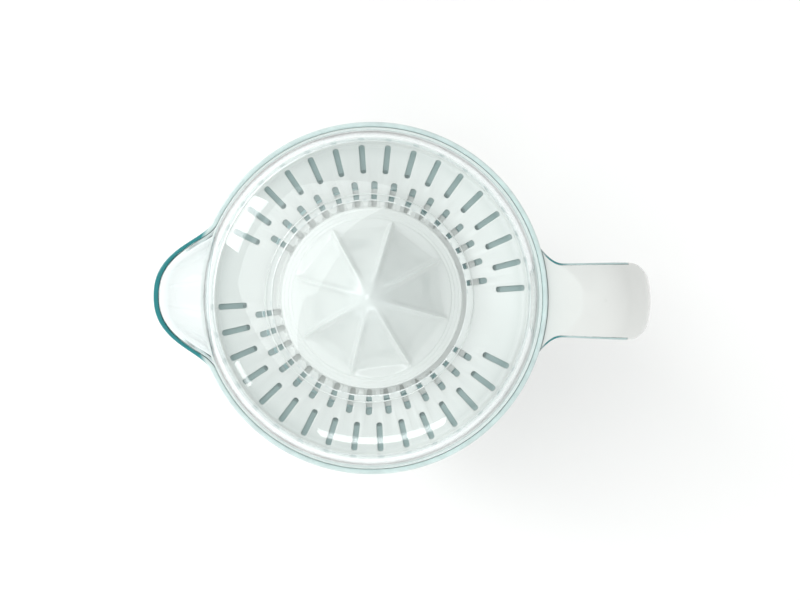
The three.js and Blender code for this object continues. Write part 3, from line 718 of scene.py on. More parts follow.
@dataclass(frozen=True)
class MattePaper(Finish):
    """The studio's paper floor, with a faint fibre."""

    colour: str

    def shade(self, tree: bpy.types.NodeTree, place: bpy.types.NodeSocket) -> Shading:
        """Adds the fibre's relief.

        Args:
            tree: The material's node tree.
            place: The point that is shaded.

        Returns:
            The sockets that feed the material's output, by its inputs' names.
        """
        matte = {"Base Color": linear(self.colour), "Roughness": 0.9, "Specular IOR Level": 0.2}
        fibre = grained(tree, place, 1.5, 0.05, 3.0, 0.3)
        return {"Surface": add_node(tree, "BsdfPrincipled", matte, {"Normal": fibre}).outputs[0]}


class Finishes:
    """The press's finishes by the frame's slot names, each built once."""

    RECIPES: dict[str, Finish] = {
        # Clear SAN from a polished tool: hardly any haze, a cool green edge where it is thick.
        "clear_plastic": ClearMoulding(
            "clear_san_polished", "#00d1d5", 69.0, 1.57, 0.012, 18.0, 0.02
        ),
        # Glossy ABS: bright, with a skin that mirrors softly and an orange peel of about 2 mm.
        "white_plastic": MouldedPlastic(
            "white_abs_gloss_moulded", "#e6e8e5", 0.12, 1.54, 2.2, 0.006, depth_light=0.1
        ),
        # Spark-eroded ABS of the base: the 0.15 mm grain is drawn at 0.5 mm so that it shows.
        "housing_plastic": MouldedPlastic(
            "white_abs_satin_moulded", "#eceeed", 0.38, 1.54, 0.5, 0.02
        ),
        # Polypropylene with a matte tool: waxy, low sheen.
        "grey_plastic": MouldedPlastic("grey_pp_moulded", "#b3b7ba", 0.5, 1.49, 0.7, 0.03),
        # Thermoplastic rubber: dull and slightly uneven.
        "rubber": MouldedPlastic("grey_tpe_moulded", "#8d9092", 0.78, 1.5, 0.4, 0.05),
        # Soft PVC of the gland and the wires.
        "black_plastic": MouldedPlastic("black_pvc_moulded", "#26282a", 0.45, 1.53, 0.6, 0.03),
        # Unfilled acetal: milky, waxy, light passes a little into it.
        "natural_acetal": MouldedPlastic(
            "natural_acetal_moulded", "#e9e5d8", 0.34, 1.48, 1.2, 0.015, depth_light=0.2
        ),
        # Zinc plate over turned steel: bright, with faint turning marks.
        "steel": WorkedMetal("zinc_plated_steel_turned", "#c3c6c8", 0.28, 0.35),
        # Oiled sintered bronze: dark pores between the grains.
        "bronze": WorkedMetal("sintered_bronze_oiled", "#a67d4d", 0.45, 0.3, (1.0, 1.0, 1.0), 0.04),
        # Electrical steel sheets of 0.5 mm, drawn at 1 mm.
        "lamination": Layered(
            "electrical_steel_stamped", "#7d8084", "#2f3133", 1.0, "Z", 0.42, 1.0
        ),
        # Enamelled copper wire of 0.2 mm, drawn at 0.6 mm.
        "copper": Layered(
            "enamelled_copper_wound", "#b96a35", "#4d2411", 0.6, "X", 0.3, 1.0
        ),
        # Pressed ferrite: black, dull, slightly grainy.
        "magnet": MouldedPlastic("ferrite_pressed", "#34363a", 0.62, 1.6, 0.5, 0.03),
    }

    # The jug's clear SAN holds about twice the lid's tint, and throws a light shade.
    JUG = ClearMoulding("clear_san_tinted", "#00d1d5", 34.0, 1.57, 0.012, 18.0, 0.02, cast="#d5dfdf")
    # The pulp ring's polypropylene from a fine matte tool, with a dull sheen. Its pale grey green is
    # painted
    # shade: it stands for the shade that fills the slots above it.
    RING_PAINTED_SHADE = MouldedPlastic("pp_ring_painted_shade", "#9db2b1", 0.4, 1.49, 0.7, 0.02)
    # The same clear SAN at an open edge of the jug. Its colour is painted light: it stands for the light
    # that has run along inside the wall and comes out here, deep teal where the way was long, as at the
    # spout and the handle, and pale on the rim.
    EDGE = PaintedEdgeLight("clear_san_edge_painted_light", "#d9e8e6", "#178488", (77.6, 79.5), (82.0, 87.0), 0.08, 0.12)

    def __init__(self) -> None:
        """Builds every finish."""
        self.built = {slot: recipe.build() for slot, recipe in self.RECIPES.items()}
        self.jug = self.JUG.build()
        self.edge = self.EDGE.build()
        self.ring = self.RING_PAINTED_SHADE.build()

    def dress(self, piece: bpy.types.Object, slot: str) -> None:
        """Gives a piece the finish of a slot.

        Args:
            piece: The made piece or frame node.
            slot: The frame's slot name.
        """
        if not piece.material_slots:
            piece.data.materials.append(None)
        for holder in piece.material_slots:
            holder.material = self.built[slot]


@dataclass
class Assembly:
    """A part of the press whose pieces are made here and dressed in the press's finishes."""

    finishes: Finishes

    def mount(
        self, piece: bpy.types.Object, node: str, slot: str, body: Body, sharp: float = 35.0
    ) -> None:
        """Smooths and dresses a piece, and puts it in its node's place on its body.

        Args:
            piece: The made piece.
            node: The frame node that it stands for.
            slot: The frame's slot name of its finish.
            body: The body that it rides on.
            sharp: Edges that turn more than this stay sharp, in degrees.
        """
        mesh = piece.data
        mesh.polygons.foreach_set("use_smooth", [True] * len(mesh.polygons))
        mesh.set_sharp_from_angle(angle=math.radians(sharp))
        self.finishes.dress(piece, slot)
        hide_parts(node)
        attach(piece, body.value)
        LOG.info("%s: %d faces, %s", piece.name, len(mesh.polygons), slot)


# ---------- jug ----------


@dataclass
class Jug(Assembly):
    """Clear jug with its spout, chimney and handle channel, and the white cover of its handle."""

    wall: float = 2.2
    side: tuple[tuple[float, float], ...] = (
        (60.4, 95.0), (64.6, 106.0), (68.6, 120.0), (71.8, 136.0), (74.0, 150.0), (75.3, 162.0),
    )
    foot_radius: float = 57.0
    floor: float = 94.6
    chimney_bore: float = 13.0
    chimney_top: float = 146.0
    ledge_drop: float = 3.0
    spout_half: float = 25.0
    spout_shape: float = 1.25
    spout_low: float = 112.0
    facets: int = 288
    handle: Handle = field(default_factory=lambda: Handle())

    def __post_init__(self) -> None:
        """Takes the rim, foot and spout from the frame."""
        self.rim_top = high("handle_cover").z + 1.6
        self.rim = high("jug").y
        self.foot = low("jug").z
        self.spout_reach = -low("jug").x - self.rim

    def is_edge(self, spot: Vector, normal: Vector) -> bool:
        """Whether a face is the open edge of the wall: the rim's top, or the channel's side walls'.

        Args:
            spot: The face's middle, in millimetres.
            normal: The way it faces.

        Returns:
            True for a face of the edge.
        """
        if math.hypot(spot.x, spot.y) > self.rim + 0.5 and spot.x > 0:
            outer = self.handle.half(spot.x)
            return normal.z > 0.15 and outer - self.handle.side_wall - 0.05 < abs(spot.y) < outer + 0.05
        return normal.z > 0.1 and spot.z > self.rim_top - 1.1

    def pull_spout(self, point: Point) -> Point:
        """Draws the wall out into the spout, the more the higher it is.

        Args:
            point: A point of the round jug.

        Returns:
            Its place with the spout.
        """
        x, y, z = point
        radius = math.hypot(x, y)
        if z <= self.spout_low or radius < self.rim / 2:
            return point
        off = min(abs(math.degrees(math.atan2(y, -x))) / self.spout_half, 1.0)
        share = (1 + math.cos(math.pi * off**self.spout_shape)) / 2
        rise = smoothstep(z, self.spout_low, self.rim_top)
        scale = 1 + self.spout_reach * share * rise / radius
        return (x * scale, y * scale, z)

    def outline(self) -> Outline:
        """Radius and height round the section of wall, floor and chimney.

        Returns:
            The closed outline.
        """
        inside = [(r - self.wall, z) for r, z in self.side]
        ledge = self.rim_top - self.ledge_drop
        return rounded([
            (self.chimney_bore, self.chimney_top, 0.6),
            (self.chimney_bore + 0.6, self.floor - self.wall, 0.8),
            (self.foot_radius - 5, self.floor - self.wall, 1.2), (self.foot_radius - 4.5, self.foot, 0.8),
            (self.foot_radius - 1, self.foot, 0.6), (self.foot_radius, self.foot + 1.6, 1.2),
            *curve_through(self.side), (self.rim - 0.3, self.rim_top - 6.2, 1.5),
            (self.rim, self.rim_top - 4.4, 1.5), (self.rim, self.rim_top, 0.9),
            (self.rim - self.wall, self.rim_top, 0.7), (self.rim - self.wall, ledge, 0.4),
            (self.rim - self.wall - 2.1, ledge - 0.6, 0.6), *reversed(curve_through(inside[1:])),
            (inside[0][0] + 0.2, self.floor, 5.0), (self.chimney_bore + 3.4, self.floor, 2.5),
            (self.chimney_bore + 2, self.chimney_top, 0.7),
        ])

    def build(self) -> None:
        """Makes the jug and the handle's cover."""
        body = Shell().turn(self.outline(), self.facets, self.pull_spout).piece("jug_clear")
        middle_wall = [(r - self.wall / 2, z) for r, z in self.side]
        rim = self.rim - self.wall / 2
        inside = [(0.0, self.floor), *middle_wall, (rim, self.rim_top - 5), (rim, self.rim_top + 9)]
        inside.append((0.0, self.rim_top + 9))
        channel = self.handle.channel()
        carve(channel, Shell().turn(inside, self.facets).piece("jug_inside"))
        carve(body, channel, Carve.JOIN)
        self.mount(body, "jug", "clear_plastic", Body.JUG, 28)
        body.data.materials[0] = self.finishes.jug
        # The open edges get the edge finish, whose colour is painted light from inside the wall.
        body.data.materials.append(self.finishes.edge)
        for face in body.data.polygons:
            if self.is_edge(face.center / MM, face.normal):
                face.material_index = 1
        cover = self.handle.cover()
        self.mount(cover, "handle_cover", "white_plastic", Body.JUG, 28)


@dataclass
class Handle:
    """The jug's handle: an arm and a grip in one bent form, which channel and cover share.

    The clear channel reaches from the root to the split, and the cover is full width beyond it. The
    thumb rest slopes down from its edge to the bend, crest_drop below the cover's highest point.
    """

    root: float = 71.5
    wall: float = 1.4
    side_wall: float = 0.8
    skin: float = 3.4
    gap: float = 0.2
    split: float = 115.0
    width: float = 34.8
    bend: float = 36.1
    inner_bend: float = 12.0
    depth: float = 18.0
    thumb_edge: float = 94.0
    thumb_slope: float = 0.25
    crest_drop: float = 0.2
    crown: float = 0.0115
    corner: float = 10.5
    edge: float = 1.1
    end_round: float = 1.4
    gate_at: float = 103.4
    gate_radius: float = 0.6
    gate_depth: float = 0.18
    arm_steps: int = 44
    grip_steps: int = 26

    def __post_init__(self) -> None:
        """Takes the handle's reach and height from the frame."""
        self.end = high("handle_cover").x
        self.top = high("handle_cover").z
        self.low = low("handle_cover").z

    def half(self, x: float) -> float:
        """Half of the handle's width at a distance from the axis, flared where it meets the jug.

        Args:
            x: Distance from the axis.

        Returns:
            Half of the width.
        """
        if x > self.end - self.corner:
            over = min(x - (self.end - self.corner), self.corner - 0.4)
            return self.width / 2 - self.corner + math.sqrt(self.corner**2 - over**2)
        slender = self.width / 2 - max(self.split - x, 0) * 0.034
        return slender + 4.6 * (max(84 - x, 0) / 8) ** 2

    def back_path(self) -> Outline:
        """Top and outer side of the form in X and Z, from the jug out and down.

        Returns:
            Points in X and Z, as many as the front path has.
        """
        tilt = math.degrees(math.atan(self.thumb_slope))
        turned = self.bend * math.sin(math.radians(tilt))
        centre_x = self.end - self.bend
        drop = self.thumb_slope * (centre_x + turned - self.thumb_edge)
        centre = (centre_x, self.top - self.crest_drop - drop - self.bend * math.cos(math.radians(tilt)))
        arm = [
            (x, self.top - self.crest_drop + self.thumb_slope * (self.thumb_edge - x))
            for x in spread(self.root, self.thumb_edge, self.arm_steps)
        ]
        bend = arc(centre, self.bend, 90 - tilt, 0, self.arm_steps)
        grip = spread(bend[-1][1], self.low, self.grip_steps)
        reach = bend[-1][1] - self.low
        return [
            *arm[:-1], *bend[:-1],
            *((self.end - 1.6 * ((bend[-1][1] - z) / reach) ** 2, z) for z in grip),
        ]

    def front_path(self, offset: float = 0.0) -> Outline:
        """Under and inner side of the form, from the jug out and down.

        Args:
            offset: How far the path is moved into the form.

        Returns:
            Points in X and Z, as many as the back path has.
        """
        inner = self.end - self.depth + offset
        roof = self.top - self.depth + offset
        bend = self.inner_bend
        arm_end = inner - bend
        arm = [
            (x, roof - 1.5 * (1 - (x - self.root) / (arm_end - self.root)))
            for x in spread(self.root, arm_end, self.arm_steps)
        ]
        turn = arc((arm_end, roof - bend), bend, 90, 0, self.arm_steps)
        grip = spread(roof - bend, self.low, self.grip_steps)
        reach = roof - bend - self.low
        return [*arm[:-1], *turn[:-1], *((inner - 0.8 * ((roof - bend - z) / reach), z) for z in grip)]

    def form(self) -> bpy.types.Object:
        """The whole handle as one solid, with a crowned back and a flat thumb rest on top.

        Returns:
            The solid.
        """
        back, front = self.back_path(), self.front_path()
        stations = list(zip(back, front))
        sections = [self.section(b, f, 0.0) for b, f in stations[:-1]]
        (bx, bz), (fx, fz) = stations[-1]
        for lift in (1.0, 0.6, 0.3, 0.1, 0.0):
            inset = self.end_round * (1 - math.sqrt(max(1 - (1 - lift) ** 2, 0)))
            rise = self.end_round * lift
            sections.append(self.section((bx, bz + rise), (fx, fz + rise), inset))
        return Shell().loft(sections).piece("handle_form")

    def section(self, back: tuple[float, float], front: tuple[float, float], inset: float) -> list[Point]:
        """A closed section across the form between a point of each path.

        Args:
            back: Point of the back path.
            front: Point of the front path.
            inset: How far the section is drawn in all round.

        Returns:
            The section's points.
        """
        reach = Vector(back) - Vector(front)
        thickness = reach.length
        along = reach / thickness
        level = (back[0] + front[0]) / 2
        half = self.half(level)
        points: list[Point] = []
        for a, y in self.section_outline(thickness, half, inset):
            x = front[0] + along.x * a
            z = front[1] + along.y * a
            width = y * (self.half(x) - inset) / (half - inset)
            fall = self.crown * width**2 * (a / thickness) ** 2
            x, z = x - along.x * fall, z - along.y * fall
            points.append((x, width, soft_lower(z, self.top - self.crest_drop, 0.07)))
        return points

    def section_outline(self, thickness: float, half: float, inset: float) -> Outline:
        """Outline of a section: distance from the front and distance across.

        Args:
            thickness: From front to back.
            half: Half of the width.
            inset: How far the outline is drawn in.

        Returns:
            The outline's points, always as many.
        """
        near, far, side = inset, thickness - inset, half - inset
        edge = self.edge
        corners = [(far - edge, side - edge, 0, 90), (near + edge, side - edge, 90, 180)]
        right: Outline = []
        right += [(far, y) for y in spread(0, side - edge, 30)[:-1]]
        right += arc(corners[0][:2], edge, 0, 90, 5)
        right += [(a, side) for a in spread(far - edge, near + edge, 30)[1:-1]]
        right += arc(corners[1][:2], edge, 90, 180, 5)
        right += [(near, y) for y in spread(side - edge, 0, 14)[1:]]
        left = [(a, -y) for a, y in reversed(right[1:-1])]
        return right + left

    def channel(self) -> bpy.types.Object:
        """The clear channel: side walls and floor, open to the outside.

        Returns:
            The channel, cut to the round of the jug.
        """
        channel = self.form()
        channel.name = "handle_channel"
        carve(channel, block((self.split, -60, 0), (self.end + 40, 60, 300)))
        floor = self.front_path(self.wall + 0.2)
        start = self.root + 2
        rim = [(start, floor[0][1])] + [p for p in floor if p[0] > start]
        outside = [(self.end + 20, self.low - 9), (self.end + 20, 230), (start, 230)]
        last = (rim[-1][0] - 0.2, self.low - 9)
        cavity = Shell().prism([*rim, last, *outside], -60, 60, Side.ACROSS).piece("channel_cavity")
        plan = self.plan(start - 5, self.end + 20, self.side_wall)
        carve(cavity, Shell().prism(plan, 0, 240).piece("channel_plan"), Carve.KEEP)
        carve(cavity, self.jug_side(0.1))
        return carve(channel, cavity)

    def jug_side(self, room: float) -> bpy.types.Object:
        """A round cutter as wide as the jug's rim, and room wider all round."""
        radius = high("jug").y + room
        return Shell().turn([(0, 0), (radius, 0), (radius, 300), (0, 300)], 288).piece("jug_side")

    def plan(self, start: float, end: float, inset: float) -> Outline:
        """Outline of the handle seen from above.

        Args:
            start: Where it starts.
            end: Where it ends.
            inset: How far its sides are moved in.

        Returns:
            The outline, in X and Y.
        """
        side = [(x, self.half(min(x, self.split)) - inset) for x in spread(start, end, 40)]
        return [*((x, -y) for x, y in side), *reversed(side)]

    def cover(self) -> bpy.types.Object:
        """The white cover: fills the channel's mouth, and is full width beyond the channel.

        Returns:
            The cover, hollow from below.
        """
        cover = self.form()
        cover.name = "handle_cover_white"
        beyond = self.split + self.gap
        inset = self.side_wall + self.gap
        for sign in (-1, 1):
            side = [(x, sign * (self.half(x) - inset)) for x in spread(60, beyond, 40)]
            outline = [*side, (beyond, sign * 50), (60.0, sign * 50)]
            carve(cover, Shell().prism(outline, 0, 240).piece("channel_wall_room"))
        start = self.root + 2
        floor = [p for p in self.front_path(self.wall + self.gap + 0.2) if p[0] > start]
        last = (floor[-1][0], self.low - 9)
        room = [(start, 230), (start, floor[0][1]), *floor, last, (20.0, self.low - 9), (20.0, 230)]
        carve(cover, Shell().prism(room, -60, 60, Side.ACROSS).piece("channel_floor_room"))
        carve(cover, self.jug_side(0.4))
        skin = self.skin
        under = [
            (x - skin * 0.4, min(z, self.top) - skin) if x < self.end - 12 else (x - skin, z)
            for x, z in self.back_path() if x > start + 8 and z > self.low + 2
        ]
        near = under[0][0]
        hollow = [*under, (under[-1][0], self.low + 2), (near, self.low + 2)]
        half = self.width / 2 - 2 * skin
        carve(cover, Shell().prism(hollow, -half, half, Side.ACROSS).piece("cover_hollow"))
        return carve(cover, self.gate_mark())

    def gate_mark(self) -> bpy.types.Object:
        """A cutter for the small round mark that the mould's gate leaves on the cover.

        Returns:
            The cutter.
        """
        face = self.top - self.crest_drop + self.thumb_slope * (self.thumb_edge - self.gate_at)
        radius, depth = self.gate_radius, self.gate_depth
        outline = [(0.0, -depth), (radius, -depth), (radius + 0.3, 2.0), (0.0, 2.0)]
        mark = Shell().turn(outline, 32, centre=(self.gate_at, 0.0))
        tilt = self.thumb_slope
        mark.points = [(x, y, face + z - tilt * (x - self.gate_at)) for x, y, z in mark.points]
        return mark.piece("gate_mark")


def spread(start: float, end: float, parts: int) -> list[float]:
    """Evenly spread numbers from start to end, both included."""
    return [start + (end - start) * step / parts for step in range(parts + 1)]


def soft_lower(value: float, limit: float, softness: float) -> float:
    """The lower of two values, with a rounded change from one to the other.

    Args:
        value: The value that is kept low.
        limit: The most that it may be.
        softness: How wide the rounded change is.

    Returns:
        The lowered value.
    """
    gap = (value - limit) / softness
    if gap > 30:
        return limit
    return value - softness * math.log1p(math.exp(gap))


def block(start: Point, end: Point) -> bpy.types.Object:
    """A plain cutter between two corners."""
    outline = [(start[0], start[1]), (end[0], start[1]), (end[0], end[1]), (start[0], end[1])]
    return Shell().prism(outline, start[2], end[2]).piece("cutter")


# ---------- strainer ----------


@dataclass(frozen=True)
class SlotRing:
    """One ring of slots: two runs of them, each slot a pitch from the last."""

    start: float
    end: float
    count: int
    runs: tuple[float, float]
    pitch: float = 10.0
    width: float = 2.6

    def turns(self) -> list[float]:
        """Directions of the slots, in radians."""
        return [
            math.radians(first + step * self.pitch) for first in self.runs for step in range(self.count)
        ]

    def cutters(
        self, surface: Callable[[float], float], levels: Sequence[tuple[float, float]]
    ) -> bpy.types.Object:
        """Solids with rounded ends that cut the slots.

        Args:
            surface: Height of the sheet's face at a radius.
            levels: Height above the face and widening of each section, from below up.

        Returns:
            All cutters as one object.
        """
        shell = Shell()
        for turn in self.turns():
            sections = []
            for rise, wider in levels:
                radius = self.width / 2 + wider
                near, far = self.start + self.width / 2, self.end - self.width / 2
                outline = [*arc((far, 0), radius, -90, 90, 10), *arc((near, 0), radius, 90, 270, 10)]
                sections.append([(*turned(x, y, turn), surface(x) + rise) for x, y in outline])
            shell.loft(sections)
        return shell.piece("slot_cutters")


@dataclass
class Bowl(Assembly):
    """The strainer, whose conical floor holds two rings of slots, and the pulp ring under it."""

    floor_in: tuple[float, float] = (43.6, 154.6)
    floor_out: tuple[float, float] = (70.6, 163.6)
    sheet: float = 1.6
    hub: float = 155.4
    hole: float = 12.0
    outer_slots: SlotRing = SlotRing(56.5, 70.0, 16, (4.6, 184.0))
    inner_slots: SlotRing = SlotRing(41.9, 51.9, 15, (9.6, 189.0))
    drip_lip: float = 46.8
    ring_inner: float = 47.6
    ring_outer: float = 70.8
    ring_tab_at: float = 54.4
    # Each row, and how far its cutters go beyond the sheet: below zero they leave a blind recess.
    ring_rows: tuple[tuple[SlotRing, float], ...] = (
        (SlotRing(60.4, 69.4, 16, (9.6, 189.0)), 2.8),
        (SlotRing(56.2, 58.8, 16, (4.6, 184.0), width=2.5), -0.25),
        (SlotRing(49.0, 51.9, 15, (14.6, 194.0), width=2.5), 2.8),
    )
    ring_sheet: float = 1.2
    gap: float = 0.3

    def __post_init__(self) -> None:
        """Takes the rim from the frame."""
        self.rim = high("strainer").x
        self.top = high("strainer").z

    def floor(self, radius: float) -> float:
        """Height of the floor's upper face at a radius."""
        (near, low_end), (far, high_end) = self.floor_in, self.floor_out
        return low_end + (radius - near) * (high_end - low_end) / (far - near)

    def outline(self) -> Outline:
        """Radius and height round the strainer's section.

        Returns:
            The closed outline.
        """
        (near, low_end), (far, high_end) = self.floor_in, self.floor_out
        flange = self.top - 1.7
        return rounded([
            (self.hole, self.hub + 7, 0.5), (self.hole, self.hub - self.sheet, 0.5),
            (near - 3.4, self.hub - self.sheet, 0.8), (near - 3.2, low_end - 3.7, 0.4),
            (self.drip_lip, low_end - 3.0, 0.5), (self.drip_lip, low_end - 1.8, 0.5),
            (near - 1.8, low_end - 2.1, 0.8), (near - 1.8, self.hub - self.sheet, 0.3),
            (near + 0.2, low_end - self.sheet, 0.5), (far + 0.4, high_end - self.sheet, 1.5),
            (far + 1.6, high_end, 1.2), (far + 2, flange, 0.5), (self.rim, flange, 0.4),
            (self.rim, self.top, 0.6), (far + 0.9, self.top, 0.6), (far, high_end, 2.2),
            (near, low_end, 0.6), (near - 0.8, self.hub, 0.5), (self.hole + 2, self.hub, 1.2),
            (self.hole + 1.6, self.hub + 7, 0.5),
        ])

    def build(self) -> None:
        """Makes the strainer and the pulp ring."""
        strainer = Shell().turn(self.outline(), 240).piece("strainer_white")
        below = -(self.sheet + 1.2)
        levels = ((below, 0.05), (-0.4, 0.0), (-0.16, 0.05), (-0.04, 0.18), (0.04, 0.42), (1.4, 1.8))
        for ring in (self.outer_slots, self.inner_slots):
            carve(strainer, ring.cutters(self.floor, levels))
        self.mount(strainer, "strainer", "white_plastic", Body.STRAINER, 40)
        ring = self.pulp_ring()
        self.mount(ring, "pulp_ring", "white_plastic", Body.PULP_RING, 40)
        # The ring's grey green finish is painted shade, for the shade in the slots above it.
        ring.data.materials[0] = self.finishes.ring

    def pulp_ring(self) -> bpy.types.Object:
        """The ring that opens and closes the outer slots, with two tabs to turn it by.

        Returns:
            The ring.
        """
        drop = self.sheet * 1.06 + self.gap
        faces = [(r, self.floor(r) - drop) for r in (self.ring_inner, self.ring_outer)]
        outline = rounded([
            (*faces[0], 0.3), (faces[0][0], faces[0][1] - self.ring_sheet, 0.3),
            (faces[1][0], faces[1][1] - self.ring_sheet, 0.3), (*faces[1], 0.3),
        ])
        ring = Shell().turn(outline, 240).piece("pulp_ring_white")
        for row, beyond in self.ring_rows:
            levels = ((-self.ring_sheet - beyond, 0.0), (2.0, 0.0))
            carve(ring, row.cutters(lambda r: self.floor(r) - drop, levels))
        tabs = Shell()
        for side in (1, -1):
            x = side * self.ring_tab_at
            corners = ((x - 1.6, -5), (x + 1.6, -5), (x + 1.6, 5), (x - 1.6, 5))
            tab = rounded([(*corner, 1.0) for corner in corners])
            top = self.floor(self.ring_tab_at) - drop
            tabs.prism(tab, top - 6.0, top - 0.6)
        return carve(ring, tabs.piece("ring_tabs"), Carve.JOIN)


# ---------- cone and drive shaft ----------


@dataclass
class Cone(Assembly):
    """The ribbed squeezing cone with its drip skirt, and the shaft that turns it."""

    rib_radius: float = 35.0
    ribs: int = 8
    first_rib: float = 30.5
    flute: float = 0.12
    rib_power: float = 0.66
    rib_half: float = 1.5
    rib_rise: float = 1.5
    skirt_rise: float = 4.2
    hexagon: float = 7.0
    facets: int = 640

    def __post_init__(self) -> None:
        """Takes heights and skirt from the frame."""
        self.skirt = high("cone").x
        self.low = low("cone").z
        self.top = high("cone").z
        self.foot = self.low + self.skirt_rise
        self.shaft_low = low("drive_shaft").z
        self.shaft_top = high("drive_shaft").z

    def rib(self, height: float) -> float:
        """Radius of the ribs at a height, an ogive with a rounded tip."""
        up = (height - self.foot) / (self.top - self.foot)
        return self.rib_radius * max(1 - up, 0.0) ** self.rib_power

    def outside(self) -> list[Corner]:
        """Radius and height of the outer face, from the skirt's edge up to the tip.

        Returns:
            The corners, each with its radius.
        """
        fillet = [self.foot + 0.25 * step for step in range(10)]
        reach = self.top - fillet[-1]
        side = fillet[:-1] + [fillet[-1] + reach * (1 - (1 - k / 60) ** 1.6) for k in range(60)]
        return [
            (self.skirt, self.low, 0.4), (self.skirt, self.low + 1.6, 0.8), (39.3, self.low + 1.75, 0.5),
            (38.9, self.low + 2.15, 0.4), (self.rib_radius + 2.3, self.foot - 1.7, 0.6),
            (self.rib_radius + 1.7, self.foot - 1.1, 0.6), (self.rib_radius + 0.5, self.foot - 0.9, 0.6),
            *((self.rib(height), height, 0.0) for height in side), (0.0, self.top, 0.0),
        ]

    def flutes(self, point: Point) -> Point:
        """Hollows the side between the ribs.

        Args:
            point: A point of the turned cone.

        Returns:
            Its place on the fluted cone, turned to the first rib's direction.
        """
        x, y, z = point
        radius = math.hypot(x, y)
        share = 1.0
        if z > self.foot and radius > 0.1:
            turn = math.degrees(math.atan2(y, x)) * self.ribs / 360
            off = 2 * (turn - math.floor(turn)) - 1
            from_rib = (1 - abs(off)) * math.pi / self.ribs * radius
            beside = 1 - math.exp(-((from_rib / self.rib_half) ** 2))
            step = self.rib_rise * beside * smoothstep(radius, 1.5, 16) / radius
            flute = self.flute * (1 - off**2) * smoothstep(self.top - z, 0, 14)
            flute *= smoothstep(z, self.foot, self.foot + 9) * 0.45 + 0.55
            share = 1 - (step + flute) * smoothstep(z, self.foot - 0.2, self.foot + 2.2)
        x, y = turned(x, y, math.radians(self.first_rib))
        return (share * x, share * y, z)

    def build(self) -> None:
        """Makes the cone and the drive shaft."""
        outline = rounded([(0.0, self.low, 0.0), *self.outside()])
        cone = Shell().turn(outline, self.facets, self.flutes).piece("cone_white")
        tube = self.hexagon + 3.4
        inside = rounded([
            (tube, self.low - 1, 0.0), (self.skirt - 1.8, self.low - 1, 0.0),
            (self.skirt - 1.8, self.low + 0.4, 0.4), (self.rib_radius - 7.2, self.foot + 1, 3.0),
            (self.rib(self.foot + 14) - 7, self.foot + 13, 4.0), (tube, self.foot + 24, 2.0),
        ])
        carve(cone, Shell().turn(inside, 96).piece("cone_hollow"))
        socket = hexagonal(self.hexagon + 0.45, self.low - 1, self.shaft_top + 0.3)
        carve(cone, socket)
        self.mount(cone, "cone", "white_plastic", Body.CONE, 30)
        shaft = self.drive_shaft()
        self.mount(shaft, "drive_shaft", "white_plastic", Body.DRIVE_SHAFT, 32)

    def drive_shaft(self) -> bpy.types.Object:
        """The lift-out shaft: socket below, drip umbrella, and six-sided upper end.

        Returns:
            The shaft.
        """
        start = self.shaft_low
        socket_top = start + 7.8
        roof = start + 44.3
        outline = rounded([
            (0.0, start, 0.0), (8.4, start, 0.8), (8.4, socket_top + 5.7, 1.0),
            (6.6, socket_top + 11.7, 1.0), (6.6, roof - 1.4, 1.2), (16.6, roof - 1.4, 1.0),
            (16.8, roof - 8.4, 0.4), (18.0, roof - 8.4, 0.4), (18.0, roof - 0.2, 2.4),
            (8.0, roof + 0.6, 0.6), (0.0, roof + 0.6, 0.0),
        ])
        shaft = Shell().turn(outline, 96).piece("drive_shaft_white")
        carve(shaft, hexagonal(self.hexagon, roof - 1, self.shaft_top), Carve.JOIN)
        return carve(shaft, hexagonal(4.8, start - 1, socket_top))


def hexagonal(radius: float, start: float, end: float) -> bpy.types.Object:
    """A six-sided bar with softened corners and a bevelled upper end.

    Args:
        radius: Over its corners.
        start: Lower end.
        end: Upper end.

    Returns:
        The bar.
    """
    corners = [
        (radius * math.cos(math.tau * k / 6), radius * math.sin(math.tau * k / 6)) for k in range(6)
    ]
    outline = rounded([(x, y, 0.6) for x, y in corners], 20)
    bevel = 0.8
    sections = [[(x, y, height) for x, y in outline] for height in (start, end - bevel)]
    share = 1 - bevel / radius
    sections.append([(x * share, y * share, end) for x, y in outline])
    return Shell().loft(sections).piece("six_sided_bar")


# ---------- lid ----------


@dataclass
class Lid(Assembly):
    """The clear dome with a lip that stands on the strainer's rim."""

    dome: tuple[tuple[float, float], ...] = (
        (72.9, 172.0), (71.8, 186.0), (67.4, 199.0), (57.6, 208.0), (42.0, 211.8),
    )
    sheet: float = 2.0
    gate: float = 1.3
    gate_depth: float = 0.25
    bead: tuple[float, float] = (39.9, 42.2)
    bead_rise: float = 0.55

    def build(self) -> None:
        """Makes the lid."""
        lip, low_lip, top = high("lid").x, low("lid").z, high("lid").z
        (bead_in, bead_out), shoulder = self.bead, self.dome[-1]
        crown = [(bead_in - 0.5, shoulder[1] + 0.2), (21.0, top - 0.4), (self.gate + 0.5, top)]
        bead = [
            (bead_out + 0.25, shoulder[1] - 0.05, 0.2), (bead_out, shoulder[1] + self.bead_rise, 0.3),
            (bead_in, shoulder[1] + self.bead_rise + 0.1, 0.3), (bead_in - 0.25, shoulder[1] + 0.15, 0.2),
        ]
        slope = [*self.dome[:-1], (bead_out + 0.7, shoulder[1] - 0.12)]
        inside = [(r - self.sheet * r / lip, z - self.sheet * (1 - (r / lip) ** 4)) for r, z in self.dome]
        outline = rounded([
            (0.0, top - self.gate_depth, 0.0), (self.gate - 0.3, top - self.gate_depth, 0.0),
            (self.gate, top - 0.05, 0.0), *reversed(curve_through(crown, 10)), *reversed(bead),
            *reversed(curve_through(slope, 10)), (lip, low_lip + 2.3, 0.7), (lip, low_lip, 0.5),
            (inside[0][0], low_lip, 0.5),
            *curve_through([*inside, (21.0, top - self.sheet - 0.3), (0.0, top - self.sheet)], 10),
        ])
        lid = Shell().turn(outline, 288).piece("lid_clear")
        self.mount(lid, "lid", "clear_plastic", Body.LID, 35)


# ---------- motor base ----------


